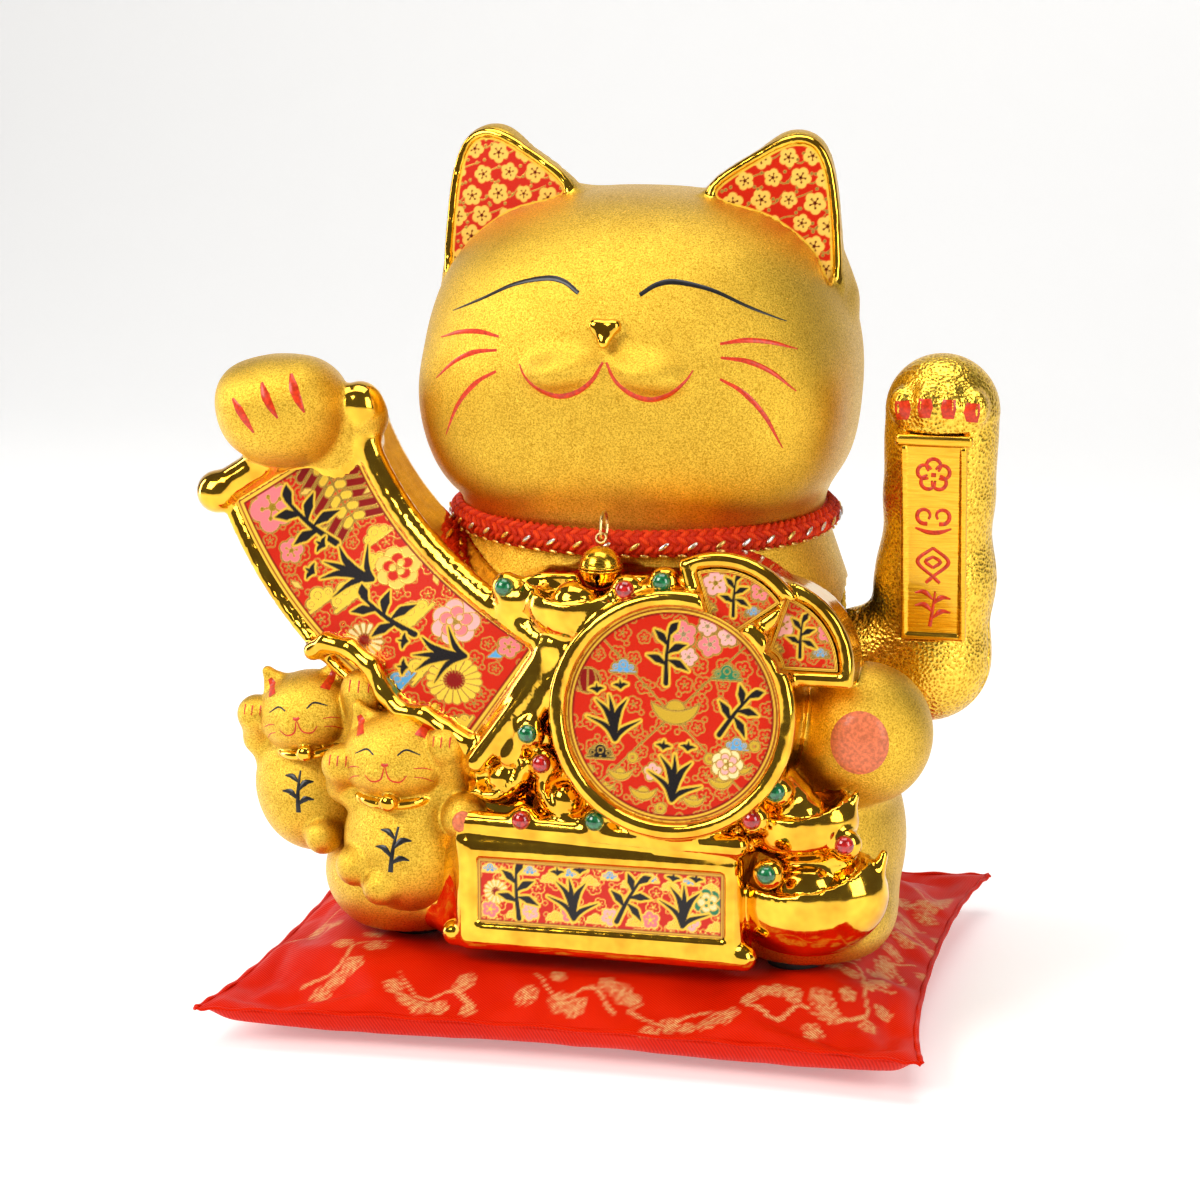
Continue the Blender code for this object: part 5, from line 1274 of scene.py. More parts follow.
def paint_drum(inks, depth):
    """Clouds, blossoms, ingots and coins round four brush ornaments."""
    inks.scatter((34, 34), 7.4, 3)
    for turn in (45, 135):
        a = math.radians(turn)
        way = np.array((math.cos(a), math.sin(a))) * 40
        inks.fill(segment_distance(inks.x, inks.y, -way, way, 0.32), GOLD, 1.0, 0)
    inks.cloud(-17, 15, 3.4, BLUE)
    inks.cloud(18, 14.5, 3.8, GREEN, -1)
    inks.cloud(-24, -14, 3.6, BLACK)
    inks.cloud(22, -9, 3.2, BLUE)
    for cx, cy, radius in ((3, 27, 4.6), (12, 24, 4.2), (18, 27, 3.6), (11, 30, 3.4), (5, 19.5, 3.2)):
        inks.blossom(cx, cy, radius, PINK if radius > 3.8 else PALE_PINK, cx, CREAM)
    inks.dot(-29, 10, 4.3, DEEP_RED, 0, 0.3)
    for x in (-31, -29, -27):
        inks.brush(((x, 13.6), (x + 0.5 * (x + 29), 10), (x, 6.4)), (0.3, 0.4, 0.3), GOLD, 1.0)
    for cx, cy, size in ((-17, -21, 4.2), (-9, -27, 4.6), (-22, -25.5, 3.2), (17, -22, 4.2),
                         (8, -28.5, 3.8), (24, -17, 3.4)):
        inks.ingot(cx, cy, size)
    for cx, cy in ((-13, -15), (13, -14), (-3, -31.5), (28, -9), (-28, -20)):
        inks.coin(cx, cy, 1.9)
    inks.peony(19, -15.5, 5.4, (CREAM, PALE_PINK))
    inks.blossom(-6, -19.5, 3.2, PALE_PINK, 0.4)
    inks.ingot(1, 0.5, 8.2)
    inks.bamboo(-2, 19.5, 9.0, 0.1)
    inks.orchid(-20, -1.0, 9.0, 0.1)
    inks.bamboo(21.5, 1.5, 9.0, -0.5)
    inks.orchid(1.5, -20.0, 9.2, -0.1)
    gold_edge(inks, depth, 1.8, 0.7)


def paint_fan(inks, depth):
    """Blossoms and clouds behind one brush ornament."""
    inks.scatter((14, 12), 6.4, 4)
    inks.blossom(-6, 6, 4.4, PALE_PINK, 0.5)
    inks.blossom(9, 4, 3.4, PINK, 0.1)
    inks.cloud(7, -3, 2.4, BLUE)
    inks.cloud(-8, -2, 2.0, YELLOW)
    inks.bamboo(0.5, 2.0, 6.4, 0.1)
    gold_edge(inks, depth, 0.9, 0.3)


def paint_plaque(inks, depth):
    """A row of clouds over a row of blossoms and clouds, with four brush ornaments between them."""
    inks.scatter((42, 10), 6.8, 5)
    for k, cx in enumerate(np.linspace(-38, 38, 12)):
        inks.cloud(cx, 8.0 - 2.2 * (k % 2), 2.3, (BLUE, YELLOW)[k % 2])
        if k % 2:
            inks.cloud(cx + 2, -7.6, 2.4, YELLOW)
        else:
            inks.blossom(cx, -6.4, 3.2, (PINK, PALE_PINK)[k % 4 // 2], k)
    inks.daisy(-36, 0, 4.2, CREAM)
    inks.peony(37, 1.0, 5.0, (GREEN, CREAM))
    inks.bamboo(-28.5, -0.2, 8.8, 0.2)
    inks.orchid(-9.5, 0.0, 8.6, 0.05)
    inks.bamboo(10.0, 0.0, 8.8, -0.35)
    inks.orchid(29.0, 0.0, 8.6, -0.1)
    gold_edge(inks, depth, 1.0, 0.4)


def paint_banner(inks, depth):
    """In the banner's own frame: x across it and y up its length, from its middle."""
    inks.scatter((26, 60), 8.2, 6)
    for cx, cy, size in ((2, 30, 5.5), (-6, 8, 6.0), (6, -14, 6.0), (-8, -30, 5.0), (8, 12, 4.5)):
        inks.cloud(cx, cy, size, YELLOW)
    inks.blossom(-13, 50, 8.6, PINK, 0.3, YELLOW)
    inks.crackers(10, 58, 7, 8.0, 0.05)
    inks.blossom(-14, 33, 4.6, PINK, 0.9)
    inks.cloud(-15, 13, 5.0, YELLOW)
    inks.cloud(15, 20, 4.4, YELLOW, -1)
    inks.peony(14, 4, 8.4, (GOLD, RED, GOLD), 0.4)
    inks.daisy(-13, -9, 6.6, CREAM)
    inks.cloud(-16, -28, 4.6, BLUE)
    inks.peony(14, -28, 9.0, (PALE_PINK, PINK, PALE_PINK))
    inks.daisy(-4, -42, 9.6, YELLOW, 18)
    inks.leaf(10, -46, 9.0, -0.6, BLUE)
    inks.blossom(18, -50, 4.4, PINK, 0.2)
    inks.cloud(-18, -53, 4.2, YELLOW)
    for cx, cy in ((-20, 24), (19, 36), (3, 48), (-4, 20), (20, -12), (-21, -40)):
        inks.leaf(cx, cy, 5.0, cx, GOLD)
    inks.bamboo(-3, 38, 12.5, 0.5)
    inks.orchid(-1, 16, 11.5, 0.5)
    inks.bamboo(-1, -8, 12.0, 0.3)
    inks.orchid(0, -31, 11.0, 0.6)
    gold_edge(inks, depth, 2.4, 0.7)


def banner_sheet():
    """The printed scroll, laid on the raised arm's flat face between its rims."""
    long = BANNER.length * (BANNER_SPAN[1] - BANNER_SPAN[0])
    half = np.array((BANNER.wide.mean() * BANNER_EDGE, long / 2))
    shape = Shape(LEVEL, lambda x, y: np.maximum(np.abs(x) - half[0], np.abs(y) - half[1]), half)

    def surface(x, y, out):
        share = BANNER_SPAN[0] + (BANNER_SPAN[1] - BANNER_SPAN[0]) * (0.5 - y / long)
        return BANNER.point(share, x / half[0] * BANNER_EDGE, np.full(len(x), BANNER_LIFT + out))

    return sheet("banner_print", shape, paint_banner, surface)


def flat_sheet(name, shape, paint, sink):
    """A sheet that lies flat, sunk below its shape's frame."""
    origin, axes = shape.place

    def surface(x, y, out):
        return origin + np.stack([x, y, np.full(len(x), out - sink)], axis=1) @ axes.T

    return sheet(name, shape, paint, surface)


# ---------------------------------------------------------------- collar, bell, beads and feet
COLLAR_LOW, COLLAR_HIGH = cad_mm("collar_cord")
COLLAR_MIDDLE = (COLLAR_LOW + COLLAR_HIGH) / 2
CORD_R = (COLLAR_HIGH[2] - COLLAR_LOW[2]) / 2
COLLAR_HALF = (COLLAR_HIGH - COLLAR_LOW)[:2] / 2 - CORD_R
PLAITS = 132  # stitches round the collar


def collar_frame(turn):
    """Centre of the cord, its way outwards and its way along, at an angle round the neck."""
    centre = COLLAR_MIDDLE + np.array((COLLAR_HALF[0] * math.sin(turn), -COLLAR_HALF[1] * math.cos(turn), 0))
    along = np.array((COLLAR_HALF[0] * math.cos(turn), COLLAR_HALF[1] * math.sin(turn), 0))
    along /= np.linalg.norm(along)
    return centre, np.array((along[1], -along[0], 0)), along


def unit_ball(segments, rings):
    """Points and faces of a ball of radius 1: rings of points between its two poles."""
    tilts = np.pi * np.arange(1, rings) / rings
    turns = 2 * np.pi * np.arange(segments) / segments
    points = [(0, 0, 1)]
    for tilt in tilts:
        wide, high = math.sin(tilt), math.cos(tilt)
        points.extend((wide * math.cos(turn), wide * math.sin(turn), high) for turn in turns)
    points.append((0, 0, -1))
    faces = []
    for k in range(segments):
        ahead = (k + 1) % segments
        faces.append([0, 1 + k, 1 + ahead])
        for first in range(1, 1 + (rings - 2) * segments, segments):
            below = first + segments
            faces.append([first + k, below + k, below + ahead, first + ahead])
        last = len(points) - 1
        faces.append([last - segments + k, last, last - segments + ahead])
    return np.array(points, float), faces


class Beads:
    """Many small stretched balls in one mesh."""

    def __init__(self, segments=8, rings=6):
        self.ball, self.ball_faces = unit_ball(segments, rings)
        self.points, self.faces, self.tints = [], [], []

    def add(self, centre, axes, radii, tint=(1, 1, 1)):
        first = len(self.points) * len(self.ball)
        self.points.append(centre + (self.ball * radii) @ axes.T)
        self.faces.extend([[first + i for i in face] for face in self.ball_faces])
        self.tints.append(np.tile(tint, (len(self.ball), 1)))

    def mesh(self, name):
        faces = np.empty(len(self.faces), object)
        faces[:] = self.faces
        obj = mesh_object(name, np.concatenate(self.points) * MM, faces)
        tints = np.concatenate(self.tints)
        paint_points(obj, tints, np.zeros(len(tints)))
        return obj


def slanted(along, up, degrees):
    """Axes whose first column runs along the cord, turned towards up by some degrees."""
    c, s = math.cos(math.radians(degrees)), math.sin(math.radians(degrees))
    first, second = along * c + up * s, up * c - along * s
    return np.stack([first, second, np.cross(first, second)], axis=1)


def collar():
    """A round plait: red stitches that slant up and down in turn, with bright dashes along its middle."""
    cord, thread = Beads(), Beads()
    pitch = 2 * math.pi / PLAITS
    reds = ((0.90, 0.060, 0.006), (0.66, 0.030, 0.004))
    dashes = ((0.85, 0.82, 0.78), (0.90, 0.60, 0.16), (0.80, 0.80, 0.84))
    up = np.array((0, 0, 1.0))
    for k in range(PLAITS):
        centre, out, along = collar_frame(k * pitch)
        for row, angle in enumerate((-150, -110, -68, -24, 24, 68, 110, 150)):
            a = math.radians(angle)
            way = out * math.cos(a) + up * math.sin(a)
            side = up * math.cos(a) - out * math.sin(a)
            shift = along * (1.3 * (row % 2))
            slant = 38 if row % 2 else -38
            place = centre + way * CORD_R * 0.72 + shift
            cord.add(place, slanted(along, side, slant), (2.35, 0.95, 1.25), reds[k % 2])
        if k % 3 == 0:
            place = centre + out * (CORD_R * 1.02)
            thread.add(place, slanted(along, up, 35), (2.3, 0.75, 0.50), dashes[k // 3 % 3])
        if k % 2 == 0:
            a = math.radians(-46)
            place = centre + (out * math.cos(a) + up * math.sin(a)) * CORD_R
            thread.add(place, slanted(along, up, -8), (1.7, 0.60, 0.45), dashes[1])
    core = Beads(12, 8)
    for k in range(PLAITS):
        core.add(collar_frame(k * pitch)[0], np.eye(3), (CORD_R * 0.80,) * 3, reds[1])
    return cord.mesh("collar_plait"), core.mesh("collar_core"), thread.mesh("collar_threads")


def bell_halves():
    """The bell's two pressed shells, with a rolled seam and a keyhole slot in the lower one."""
    low, high = cad_mm("bell_lower_half")
    seam_z = (high[2] + cad_mm("bell_upper_half")[0][2]) / 2
    centre = np.array((*cad_middle("bell_lower_half")[:2], seam_z))
    radius = (high[0] - low[0]) / 2
    level = (centre, np.eye(3))
    made = []
    for name, side in (("bell_top", 1), ("bell_bottom", -1)):
        sculpt = Sculpt()
        sculpt.add(ellipsoid(centre, radius), 0.1)
        sculpt.add(ring((centre + (0, 0, side * 0.55), np.eye(3)), radius - 0.1, 0.45), 0.3)
        if side < 0:
            sculpt.add(ring((centre - (0, 0, radius * 0.55), np.eye(3)), radius * 0.80, 0.28), 0.3)
        sculpt.cut(ellipsoid(centre, radius - 0.65), 0.1)
        low, high = (-20, 0.15) if side > 0 else (-0.15, 20)
        sculpt.cut(block(level, (-20, -20, low), (20, 20, high), 0.0), 0.1)
        if side < 0:
            sculpt.cut(limb(centre + (0, -12, -2.0), centre + (0, 0, -2.0), 1.35), 0.15)
            sculpt.cut(block(level, (-0.42, -12, -12), (0.42, 3, -2.0), 0.0), 0.15)
        made.append(sculpt.mesh(name, 0.3))
    return made


def glass_beads():
    """The coloured cabochons in the treasure, one mesh for each colour."""
    made = {}
    for colour in ("green", "red"):
        beads = Beads(24, 16)
        for centre, own in bead_seats():
            if own == colour:
                place = np.array(centre) + (0, -1.6, 0.6)
                beads.add(place, np.eye(3), (BEAD_R, BEAD_R * 0.9, BEAD_R))
        made[colour] = beads.mesh("glass_beads_" + colour)
    return made


def rubber_foot(node):
    """A moulded foot: a disc with a rounded rim and a ring groove in its underside."""
    low, high = cad_mm(node)
    middle = cad_middle(node)
    half, radius = (high[2] - low[2]) / 2, (high[0] - low[0]) / 2
    sculpt = Sculpt()
    sculpt.add(drum((middle, np.eye(3)), radius, -half, half, 0.9), 0.1)
    sculpt.cut(ring((middle - (0, 0, half), np.eye(3)), radius * 0.62, 0.9), 0.3)
    return sculpt.mesh(node.replace("rubber", "moulded"), 0.5)


# ---------------------------------------------------------------- cushion
CUSHION_LOW, CUSHION_HIGH = cad_mm("cushion_cover")
CUSHION_MIDDLE = (CUSHION_LOW + CUSHION_HIGH) / 2
CUSHION_HALF = (CUSHION_HIGH - CUSHION_LOW)[:2] / 2
SEAM_Z = 14.5
SHEETS = ((1, 7.5, 0.6), (-1, 12.2, 0.26))  # side, depth in mm and fullness power of each sheet
CUSHION_PULL = 0.045  # how far the sides draw in between the corners
CUSHION_CELLS = (52, 42)
CLOTH_FRAMES = 20
SWELL_LIMIT = 7  # mm: no point of the cover moves further than this
PRESS_REACH = 26.0  # mm: how far outside the figurine's foot the cushion's top is held down
CUSHION_RESTS = cad_mm("rubber_foot_front_left")[0][2] - 0.15  # height of the top under the figurine's feet


def cushion_plan(u, v):
    """A point of the cushion's outline grid, u and v from -1 to 1, with its corners drawn out."""
    point = 1 + 0.03 * (np.abs(u) * np.abs(v)) ** 6
    x = CUSHION_MIDDLE[0] + CUSHION_HALF[0] * u * (1 - CUSHION_PULL * (1 - v * v)) * point
    y = CUSHION_MIDDLE[1] + CUSHION_HALF[1] * v * (1 - CUSHION_PULL * (1 - u * u)) * point
    return x, y


def cushion_blank():
    """The flat sewn cover before it is filled: two sheets joined round their edge."""
    columns, rows = CUSHION_CELLS
    u, v = np.meshgrid(np.linspace(-1, 1, columns + 1), np.linspace(-1, 1, rows + 1), indexing="ij")
    x, y = cushion_plan(u, v)
    loft = (1 - u ** 6) * (1 - v ** 6)
    points, faces = [], []
    index = {}
    for side, height, power in SHEETS:
        for i in range(columns + 1):
            for j in range(rows + 1):
                on_edge = i in (0, columns) or j in (0, rows)
                if on_edge and side < 0:
                    index[side, i, j] = index[1, i, j]
                    continue
                index[side, i, j] = len(points)
                points.append((x[i, j], y[i, j], SEAM_Z + side * height * loft[i, j] ** power))
        for i in range(columns):
            for j in range(rows):
                face = [index[side, a, b] for a, b in ((i, j), (i + 1, j), (i + 1, j + 1), (i, j + 1))]
                faces.append(face if side > 0 else face[::-1])
    obj = mesh_object("cushion", np.array(points) * MM, np.array(faces))
    seam = obj.vertex_groups.new(name="seam")
    held = [index[1, i, j] for i in range(columns + 1) for j in range(rows + 1)
            if i in (0, columns) or j in (0, rows)]
    seam.add(held, 1.0, "REPLACE")
    rim = set(held)
    crease = obj.data.attributes.new("crease_edge", "FLOAT", "EDGE")
    crease.data.foreach_set("value", [float(set(edge.vertices) <= rim) for edge in obj.data.edges])
    return obj


def inflate(obj):
    """Fills the cover by a cloth simulation whose seam stays put, then keeps its shape."""
    start = mesh_points(obj)
    cloth = obj.modifiers.new("Cloth", "CLOTH")
    settings = cloth.settings
    settings.vertex_group_mass = "seam"
    settings.pin_stiffness = 1.0
    settings.use_pressure = True
    settings.uniform_pressure_force = 4.0
    settings.mass = 0.2
    settings.tension_stiffness = settings.compression_stiffness = 12
    settings.bending_stiffness = 0.15
    settings.shrink_min = -0.045
    settings.quality = 6
    settings.effector_weights.gravity = 0
    cloth.collision_settings.use_collision = False
    scene = bpy.context.scene
    for number in range(1, CLOTH_FRAMES + 1):
        scene.frame_set(number)
    move = mesh_points(obj.evaluated_get(bpy.context.evaluated_depsgraph_get())) - start
    obj.modifiers.remove(cloth)
    scene.frame_set(1)
    length = np.linalg.norm(move, axis=1)[:, None]
    move[start[:, 2] < (SEAM_Z - 0.5) * MM] *= 0.15  # the floor holds the underside back
    move_points(obj, start + move * np.minimum(1, SWELL_LIMIT * MM / np.maximum(length, 1e-9)))


def press_cushion(obj):
    """Flattens the cushion on the floor and under the figurine."""
    points = mesh_points(obj) / MM
    upper = points[:, 2] > SEAM_Z
    depth = torso_footprint(points[:, 0], points[:, 1])
    pressed = np.clip(1 - depth / PRESS_REACH, 0, 1)
    ceiling = CUSHION_RESTS - 1.0 + 2.6 * (1 - pressed) ** 2
    height = points[:, 2]
    over = height - (ceiling - 2.5)
    height = np.where(upper & (over > 0), ceiling - 2.5 + 2.5 * np.tanh(over / 2.5), height)
    lift = 1.8 - height
    height = np.where(~upper & (lift > 0), 1.8 - 1.8 * np.tanh(lift / 1.8), height)
    points[:, 2] = height
    move_points(obj, points * MM)


def torso_footprint(x, y):
    """Distance outside the ellipse that the figurine stands on."""
    near = np.hypot(x / 80, (y + 12) / 66)
    return (near - 1) * 66


def cushion_pattern(points):
    """How much gold thread shows at each point: sprays of plum blossom, mostly towards the edges."""
    x, y = points[:, 0], points[:, 1]
    inks = Print(x, y, (0.0, 0.0, 0.0))
    white = (1.0, 1.0, 1.0)
    draws = np.random.default_rng(11)
    for cx, cy, turn in CUSHION_SPRAYS:
        c, s = math.cos(turn), math.sin(turn)
        reach = draws.uniform(12, 17)
        branch = [(cx + reach * t * c - 3 * math.sin(4 * t) * s, cy + reach * t * s + 3 * math.sin(4 * t) * c)
                  for t in (-1.0, -0.3, 0.4, 1.1)]
        inks.brush(branch, (1.5, 1.1, 0.9, 0.6), white)
        for along in np.linspace(-0.95, 1.0, 6):
            across = draws.uniform(3.0, 8.0) * draws.choice((-1, 1))
            radius = draws.uniform(2.4, 4.0)
            bx, by = cx + along * reach * c - across * s, cy + along * reach * s + across * c
            self_turn = draws.uniform(0, 6.3)
            for j in range(5):
                a = self_turn + 2 * math.pi * j / 5
                spread = radius * 0.58
                px, py = bx + spread * math.cos(a), by + spread * math.sin(a)
                petal = circle_distance(x, y, px, py, radius * 0.44)
                inks.lay(0.16 * np.clip(0.5 - petal / 0.8, 0, 1), white, 0)
                inks.lay(np.clip(0.5 - (np.abs(petal) - 0.34) / 0.5, 0, 1), white, 0)
            inks.dot(bx, by, radius * 0.17, white)
    return inks.ink[:, 0]


# Each spray's middle and the way its branch runs, in radians.
CUSHION_SPRAYS = ((70, -104, 0.3), (94, -88, 1.2), (34, -108, 0.1), (100, -52, 1.5), (102, -14, 1.7),
                  (98, 26, 1.5), (78, 56, 2.6), (-2, -104, 2.9), (-86, -92, 0.9), (-104, -56, 1.5),
                  (-106, -6, 1.6), (-104, 36, 1.4), (-62, 60, 2.9), (-20, 62, 0.2), (26, 62, 2.9),
                  (-50, -106, 3.0), (84, -66, 2.3), (88, 4, 0.9), (-84, -24, 0.4))


def cushion():
    """The filled cover, with how much gold thread shows stored at each point."""
    obj = cushion_blank()
    inflate(obj)
    press_cushion(obj)
    subdivide_smooth(obj, 2)
    points = mesh_points(obj) / MM
    above = np.clip((points[:, 2] - SEAM_Z + 0.3) / 0.6, 0, 1)
    store(obj, "thread", cushion_pattern(points) * above)
    return obj


def wadding(cover):
    """The filling: the cover's own shape, drawn in from it all round."""
    obj = new_object("cushion_wadding", cover.data.copy())
    middle = np.array((*CUSHION_MIDDLE[:2], SEAM_Z))
    move_points(obj, (middle + (mesh_points(obj) / MM - middle) * (0.84, 0.82, 0.62)) * MM)
    return obj


def subdivide_smooth(obj, levels):
    """Applies subdivision, with creased edges kept sharp."""
    modifier = obj.modifiers.new("Subdivision", "SUBSURF")
    modifier.levels = modifier.render_levels = levels
    modifier.boundary_smooth = "ALL"
    made = obj.evaluated_get(bpy.context.evaluated_depsgraph_get())
    mesh = bpy.data.meshes.new_from_object(made)
    obj.modifiers.clear()
    obj.data = mesh
    mesh.shade_smooth()


def cushion_welt():
    """The sewn edge: a thin folded seam round the cushion."""
    steps = 90
    line = []
    for start, end in (((-1, -1), (1, -1)), ((1, -1), (1, 1)), ((1, 1), (-1, 1)), ((-1, 1), (-1, -1))):
        for k in range(steps):
            share = 0.5 - 0.5 * math.cos(math.pi * k / steps)
            u, v = start[0] + (end[0] - start[0]) * share, start[1] + (end[1] - start[1]) * share
            x, y = cushion_plan(np.array(u), np.array(v))
            line.append((float(x), float(y), SEAM_Z + 0.35 * math.sin(k * 0.9)))
    line = np.array(line)
    tangent = np.roll(line, -1, axis=0) - np.roll(line, 1, axis=0)
    tangent /= np.linalg.norm(tangent, axis=1)[:, None]
    out = np.stack([tangent[:, 1], -tangent[:, 0], 0 * tangent[:, 0]], axis=1)
    section = [(0.95 * math.cos(a), 0.55 * math.sin(a)) for a in np.linspace(0, 2 * math.pi, 9)[:-1]]
    points = np.concatenate([line + out * (0.3 + a) + np.array((0, 0, b)) for a, b in section])
    count, sides = len(line), len(section)
    faces = []
    for s in range(sides):
        for k in range(count):
            a, b = s * count + k, s * count + (k + 1) % count
            c, d = (s + 1) % sides * count + (k + 1) % count, (s + 1) % sides * count + k
            faces.append((a, b, c, d))
    return mesh_object("cushion_welt", points * MM, np.array(faces))


# ---------------------------------------------------------------- materials
class Finish:
    """One material, built as a small node graph round a Principled shader."""

    def __init__(self, name, colour, rough, metal=0.0, **sockets):
        self.material = bpy.data.materials.new(name)
        self.material.use_nodes = True
        self.tree = self.material.node_tree
        self.shader = self.tree.nodes["Principled BSDF"]
        self.set("Base Color", colour)
        self.set("Roughness", rough)
        self.set("Metallic", metal)
        for socket, value in sockets.items():
            self.set(socket.replace("_", " "), value)
        self.where = self.node("ShaderNodeTexCoord").outputs["Object"]

    def feed(self, target, value):
        """Links a socket to another node's output, or sets its value; a colour may leave out its alpha."""
        if isinstance(value, bpy.types.NodeSocket):
            self.tree.links.new(value, target)
        elif hasattr(target.default_value, "__len__"):
            target.default_value = (*value, 1.0)[:len(target.default_value)]
        else:
            target.default_value = value

    def set(self, socket, value):
        self.feed(self.shader.inputs[socket], value)

    def node(self, kind, inputs=None, **settings):
        """Adds a node; inputs are given by name or, where names repeat, by number."""
        made = self.tree.nodes.new(kind)
        for name, value in settings.items():
            setattr(made, name, value)
        for name, value in (inputs or {}).items():
            self.feed(made.inputs[name], value)
        return made

    def noise(self, size_mm, detail=3.0, rough=0.55):
        """Noise whose features are about size_mm across."""
        inputs = {"Vector": self.where, "Scale": 1 / (size_mm * MM), "Detail": detail, "Roughness": rough}
        return self.node("ShaderNodeTexNoise", inputs).outputs["Fac"]

    def waves(self, size_mm, direction, distortion=0.0, detail=2.0):
        """Bands about size_mm apart along a direction."""
        scale = 1 / (size_mm * MM)
        inputs = {"Vector": self.where, "Scale": scale, "Distortion": distortion, "Detail": detail}
        bands = self.node("ShaderNodeTexWave", inputs, wave_type="BANDS", bands_direction=direction)
        return bands.outputs["Fac"]

    def cells(self, size_mm):
        """Distance to the middle of the nearest cell, with the cells about size_mm across."""
        inputs = {"Vector": self.where, "Scale": 1 / (size_mm * MM), "Smoothness": 0.4}
        return self.node("ShaderNodeTexVoronoi", inputs, feature="SMOOTH_F1").outputs["Distance"]

    def spread(self, value, low, high, to_low, to_high):
        """Maps low..high to to_low..to_high."""
        inputs = {"Value": value, "From Min": low, "From Max": high, "To Min": to_low, "To Max": to_high}
        return self.node("ShaderNodeMapRange", inputs).outputs["Result"]

    def blend(self, share, first, second):
        """Mixes two colours."""
        return self.node("ShaderNodeMix", {0: share, 6: first, 7: second}, data_type="RGBA").outputs[2]

    def blend_value(self, share, first, second):
        return self.node("ShaderNodeMix", {0: share, 2: first, 3: second}, data_type="FLOAT").outputs[0]

    def multiply(self, a, b):
        return self.node("ShaderNodeMath", {0: a, 1: b}, operation="MULTIPLY").outputs[0]

    def vary(self, socket, value, first, second, low=0.3, high=0.7):
        """Sets a socket between two values, or two colours, as value goes from low to high."""
        if isinstance(first, tuple):
            self.set(socket, self.blend(self.spread(value, low, high, 0, 1), first, second))
        else:
            self.set(socket, self.spread(value, low, high, first, second))

    def attribute(self, name, output="Fac"):
        return self.node("ShaderNodeAttribute", attribute_name=name).outputs[output]

    def bump(self, height, depth_mm, strength, below=None):
        """A normal bent by height, on top of the normal below."""
        inputs = {"Height": height, "Distance": depth_mm * MM, "Strength": strength}
        if below is not None:
            inputs["Normal"] = below
        return self.node("ShaderNodeBump", inputs).outputs["Normal"]


FROST_DEEP, FROST_PALE = (0.46, 0.225, 0.010), (0.94, 0.61, 0.070)
GLOSS_DEEP, GLOSS_PALE = (0.72, 0.34, 0.012), (0.98, 0.58, 0.04)


def darker(colour, share):
    """A colour with each part cut down to a share of it."""
    return tuple(share * c for c in colour)


def cast_gold():
    """Sand-textured gold with bright polished parts where the casting's shine says so."""
    finish = Finish("cast_gold", FROST_PALE, 0.4, 1.0)
    shiny = finish.spread(finish.attribute("shine"), 0.40, 0.60, 0.0, 1.0)
    grain, patches = finish.noise(0.6, 4.0, 0.7), finish.noise(9.0, 2.0)
    sand = finish.blend(finish.spread(grain, 0.33, 0.60, 0.0, 1.0), FROST_DEEP, FROST_PALE)
    sand = finish.blend(finish.spread(patches, 0.3, 0.7, 0.0, 0.22), sand, FROST_DEEP)
    bright = finish.blend(finish.spread(patches, 0.3, 0.7, 0.0, 1.0), GLOSS_DEEP, GLOSS_PALE)
    finish.set("Base Color", finish.blend(shiny, sand, bright))
    sand_rough = finish.spread(grain, 0.35, 0.65, 0.46, 0.27)
    bright_rough = finish.spread(finish.noise(2.5), 0.3, 0.7, 0.07, 0.13)
    finish.set("Roughness", finish.blend_value(shiny, sand_rough, bright_rough))
    height = finish.blend_value(shiny, grain, finish.multiply(finish.noise(5.0, 1.0), 0.5))
    finish.set("Normal", finish.bump(height, 0.30, 0.9))
    finish.set("Coat Weight", finish.multiply(shiny, 0.4))
    finish.set("Coat Roughness", 0.05)
    return finish.material


def hammered_gold():
    """The arm's coarse hammered plating, with painted shade darkening the bottom of each dent."""
    finish = Finish("hammered_gold", FROST_PALE, 0.3, 1.0)
    dents, grain = finish.cells(1.15), finish.noise(0.6)
    # painted shade: the colour darkens towards the bottom of each dent
    height = finish.spread(dents, 0.1, 0.6, 0.0, 1.0)
    finish.set("Base Color", finish.blend(height, (0.50, 0.24, 0.012), FROST_PALE))
    finish.vary("Roughness", grain, 0.20, 0.36)
    finish.set("Normal", finish.bump(dents, 0.35, 0.8, finish.bump(grain, 0.08, 0.5)))
    return finish.material


def polished_gold():
    """Bright plating, brushed from side to side."""
    finish = Finish("polished_gold", GLOSS_PALE, 0.15, 1.0, Coat_Weight=0.3)
    squeeze = finish.node("ShaderNodeMapping", {"Vector": finish.where, "Scale": (0.06, 1.0, 1.0)})
    streaks = {"Vector": squeeze.outputs[0], "Scale": 1 / (0.5 * MM), "Detail": 2.0}
    lines = finish.node("ShaderNodeTexNoise", streaks).outputs["Fac"]
    finish.vary("Base Color", lines, GLOSS_DEEP, GLOSS_PALE)
    finish.vary("Roughness", lines, 0.12, 0.30)
    finish.set("Normal", finish.bump(lines, 0.05, 0.4))
    return finish.material


def print_ink():
    """Printed film: glossy ink with foil where the print's foil says so."""
    finish = Finish("print_ink", RED, 0.3, Coat_Weight=0.15, Coat_Roughness=0.08, Specular_IOR_Level=0.25)
    foil, fleck = finish.attribute("foil"), finish.noise(0.35, 2.0)
    ink = finish.attribute("ink", "Color")
    finish.set("Base Color", finish.blend(finish.spread(fleck, 0.45, 0.75, 0.0, 0.14), ink, (0.05, 0.0, 0.0)))
    finish.set("Metallic", finish.multiply(foil, 0.85))
    finish.set("Roughness", finish.blend_value(foil, finish.spread(fleck, 0.3, 0.7, 0.26, 0.36), 0.22))
    finish.set("Normal", finish.bump(foil, 0.05, 0.5, finish.bump(fleck, 0.02, 0.3)))
    return finish.material


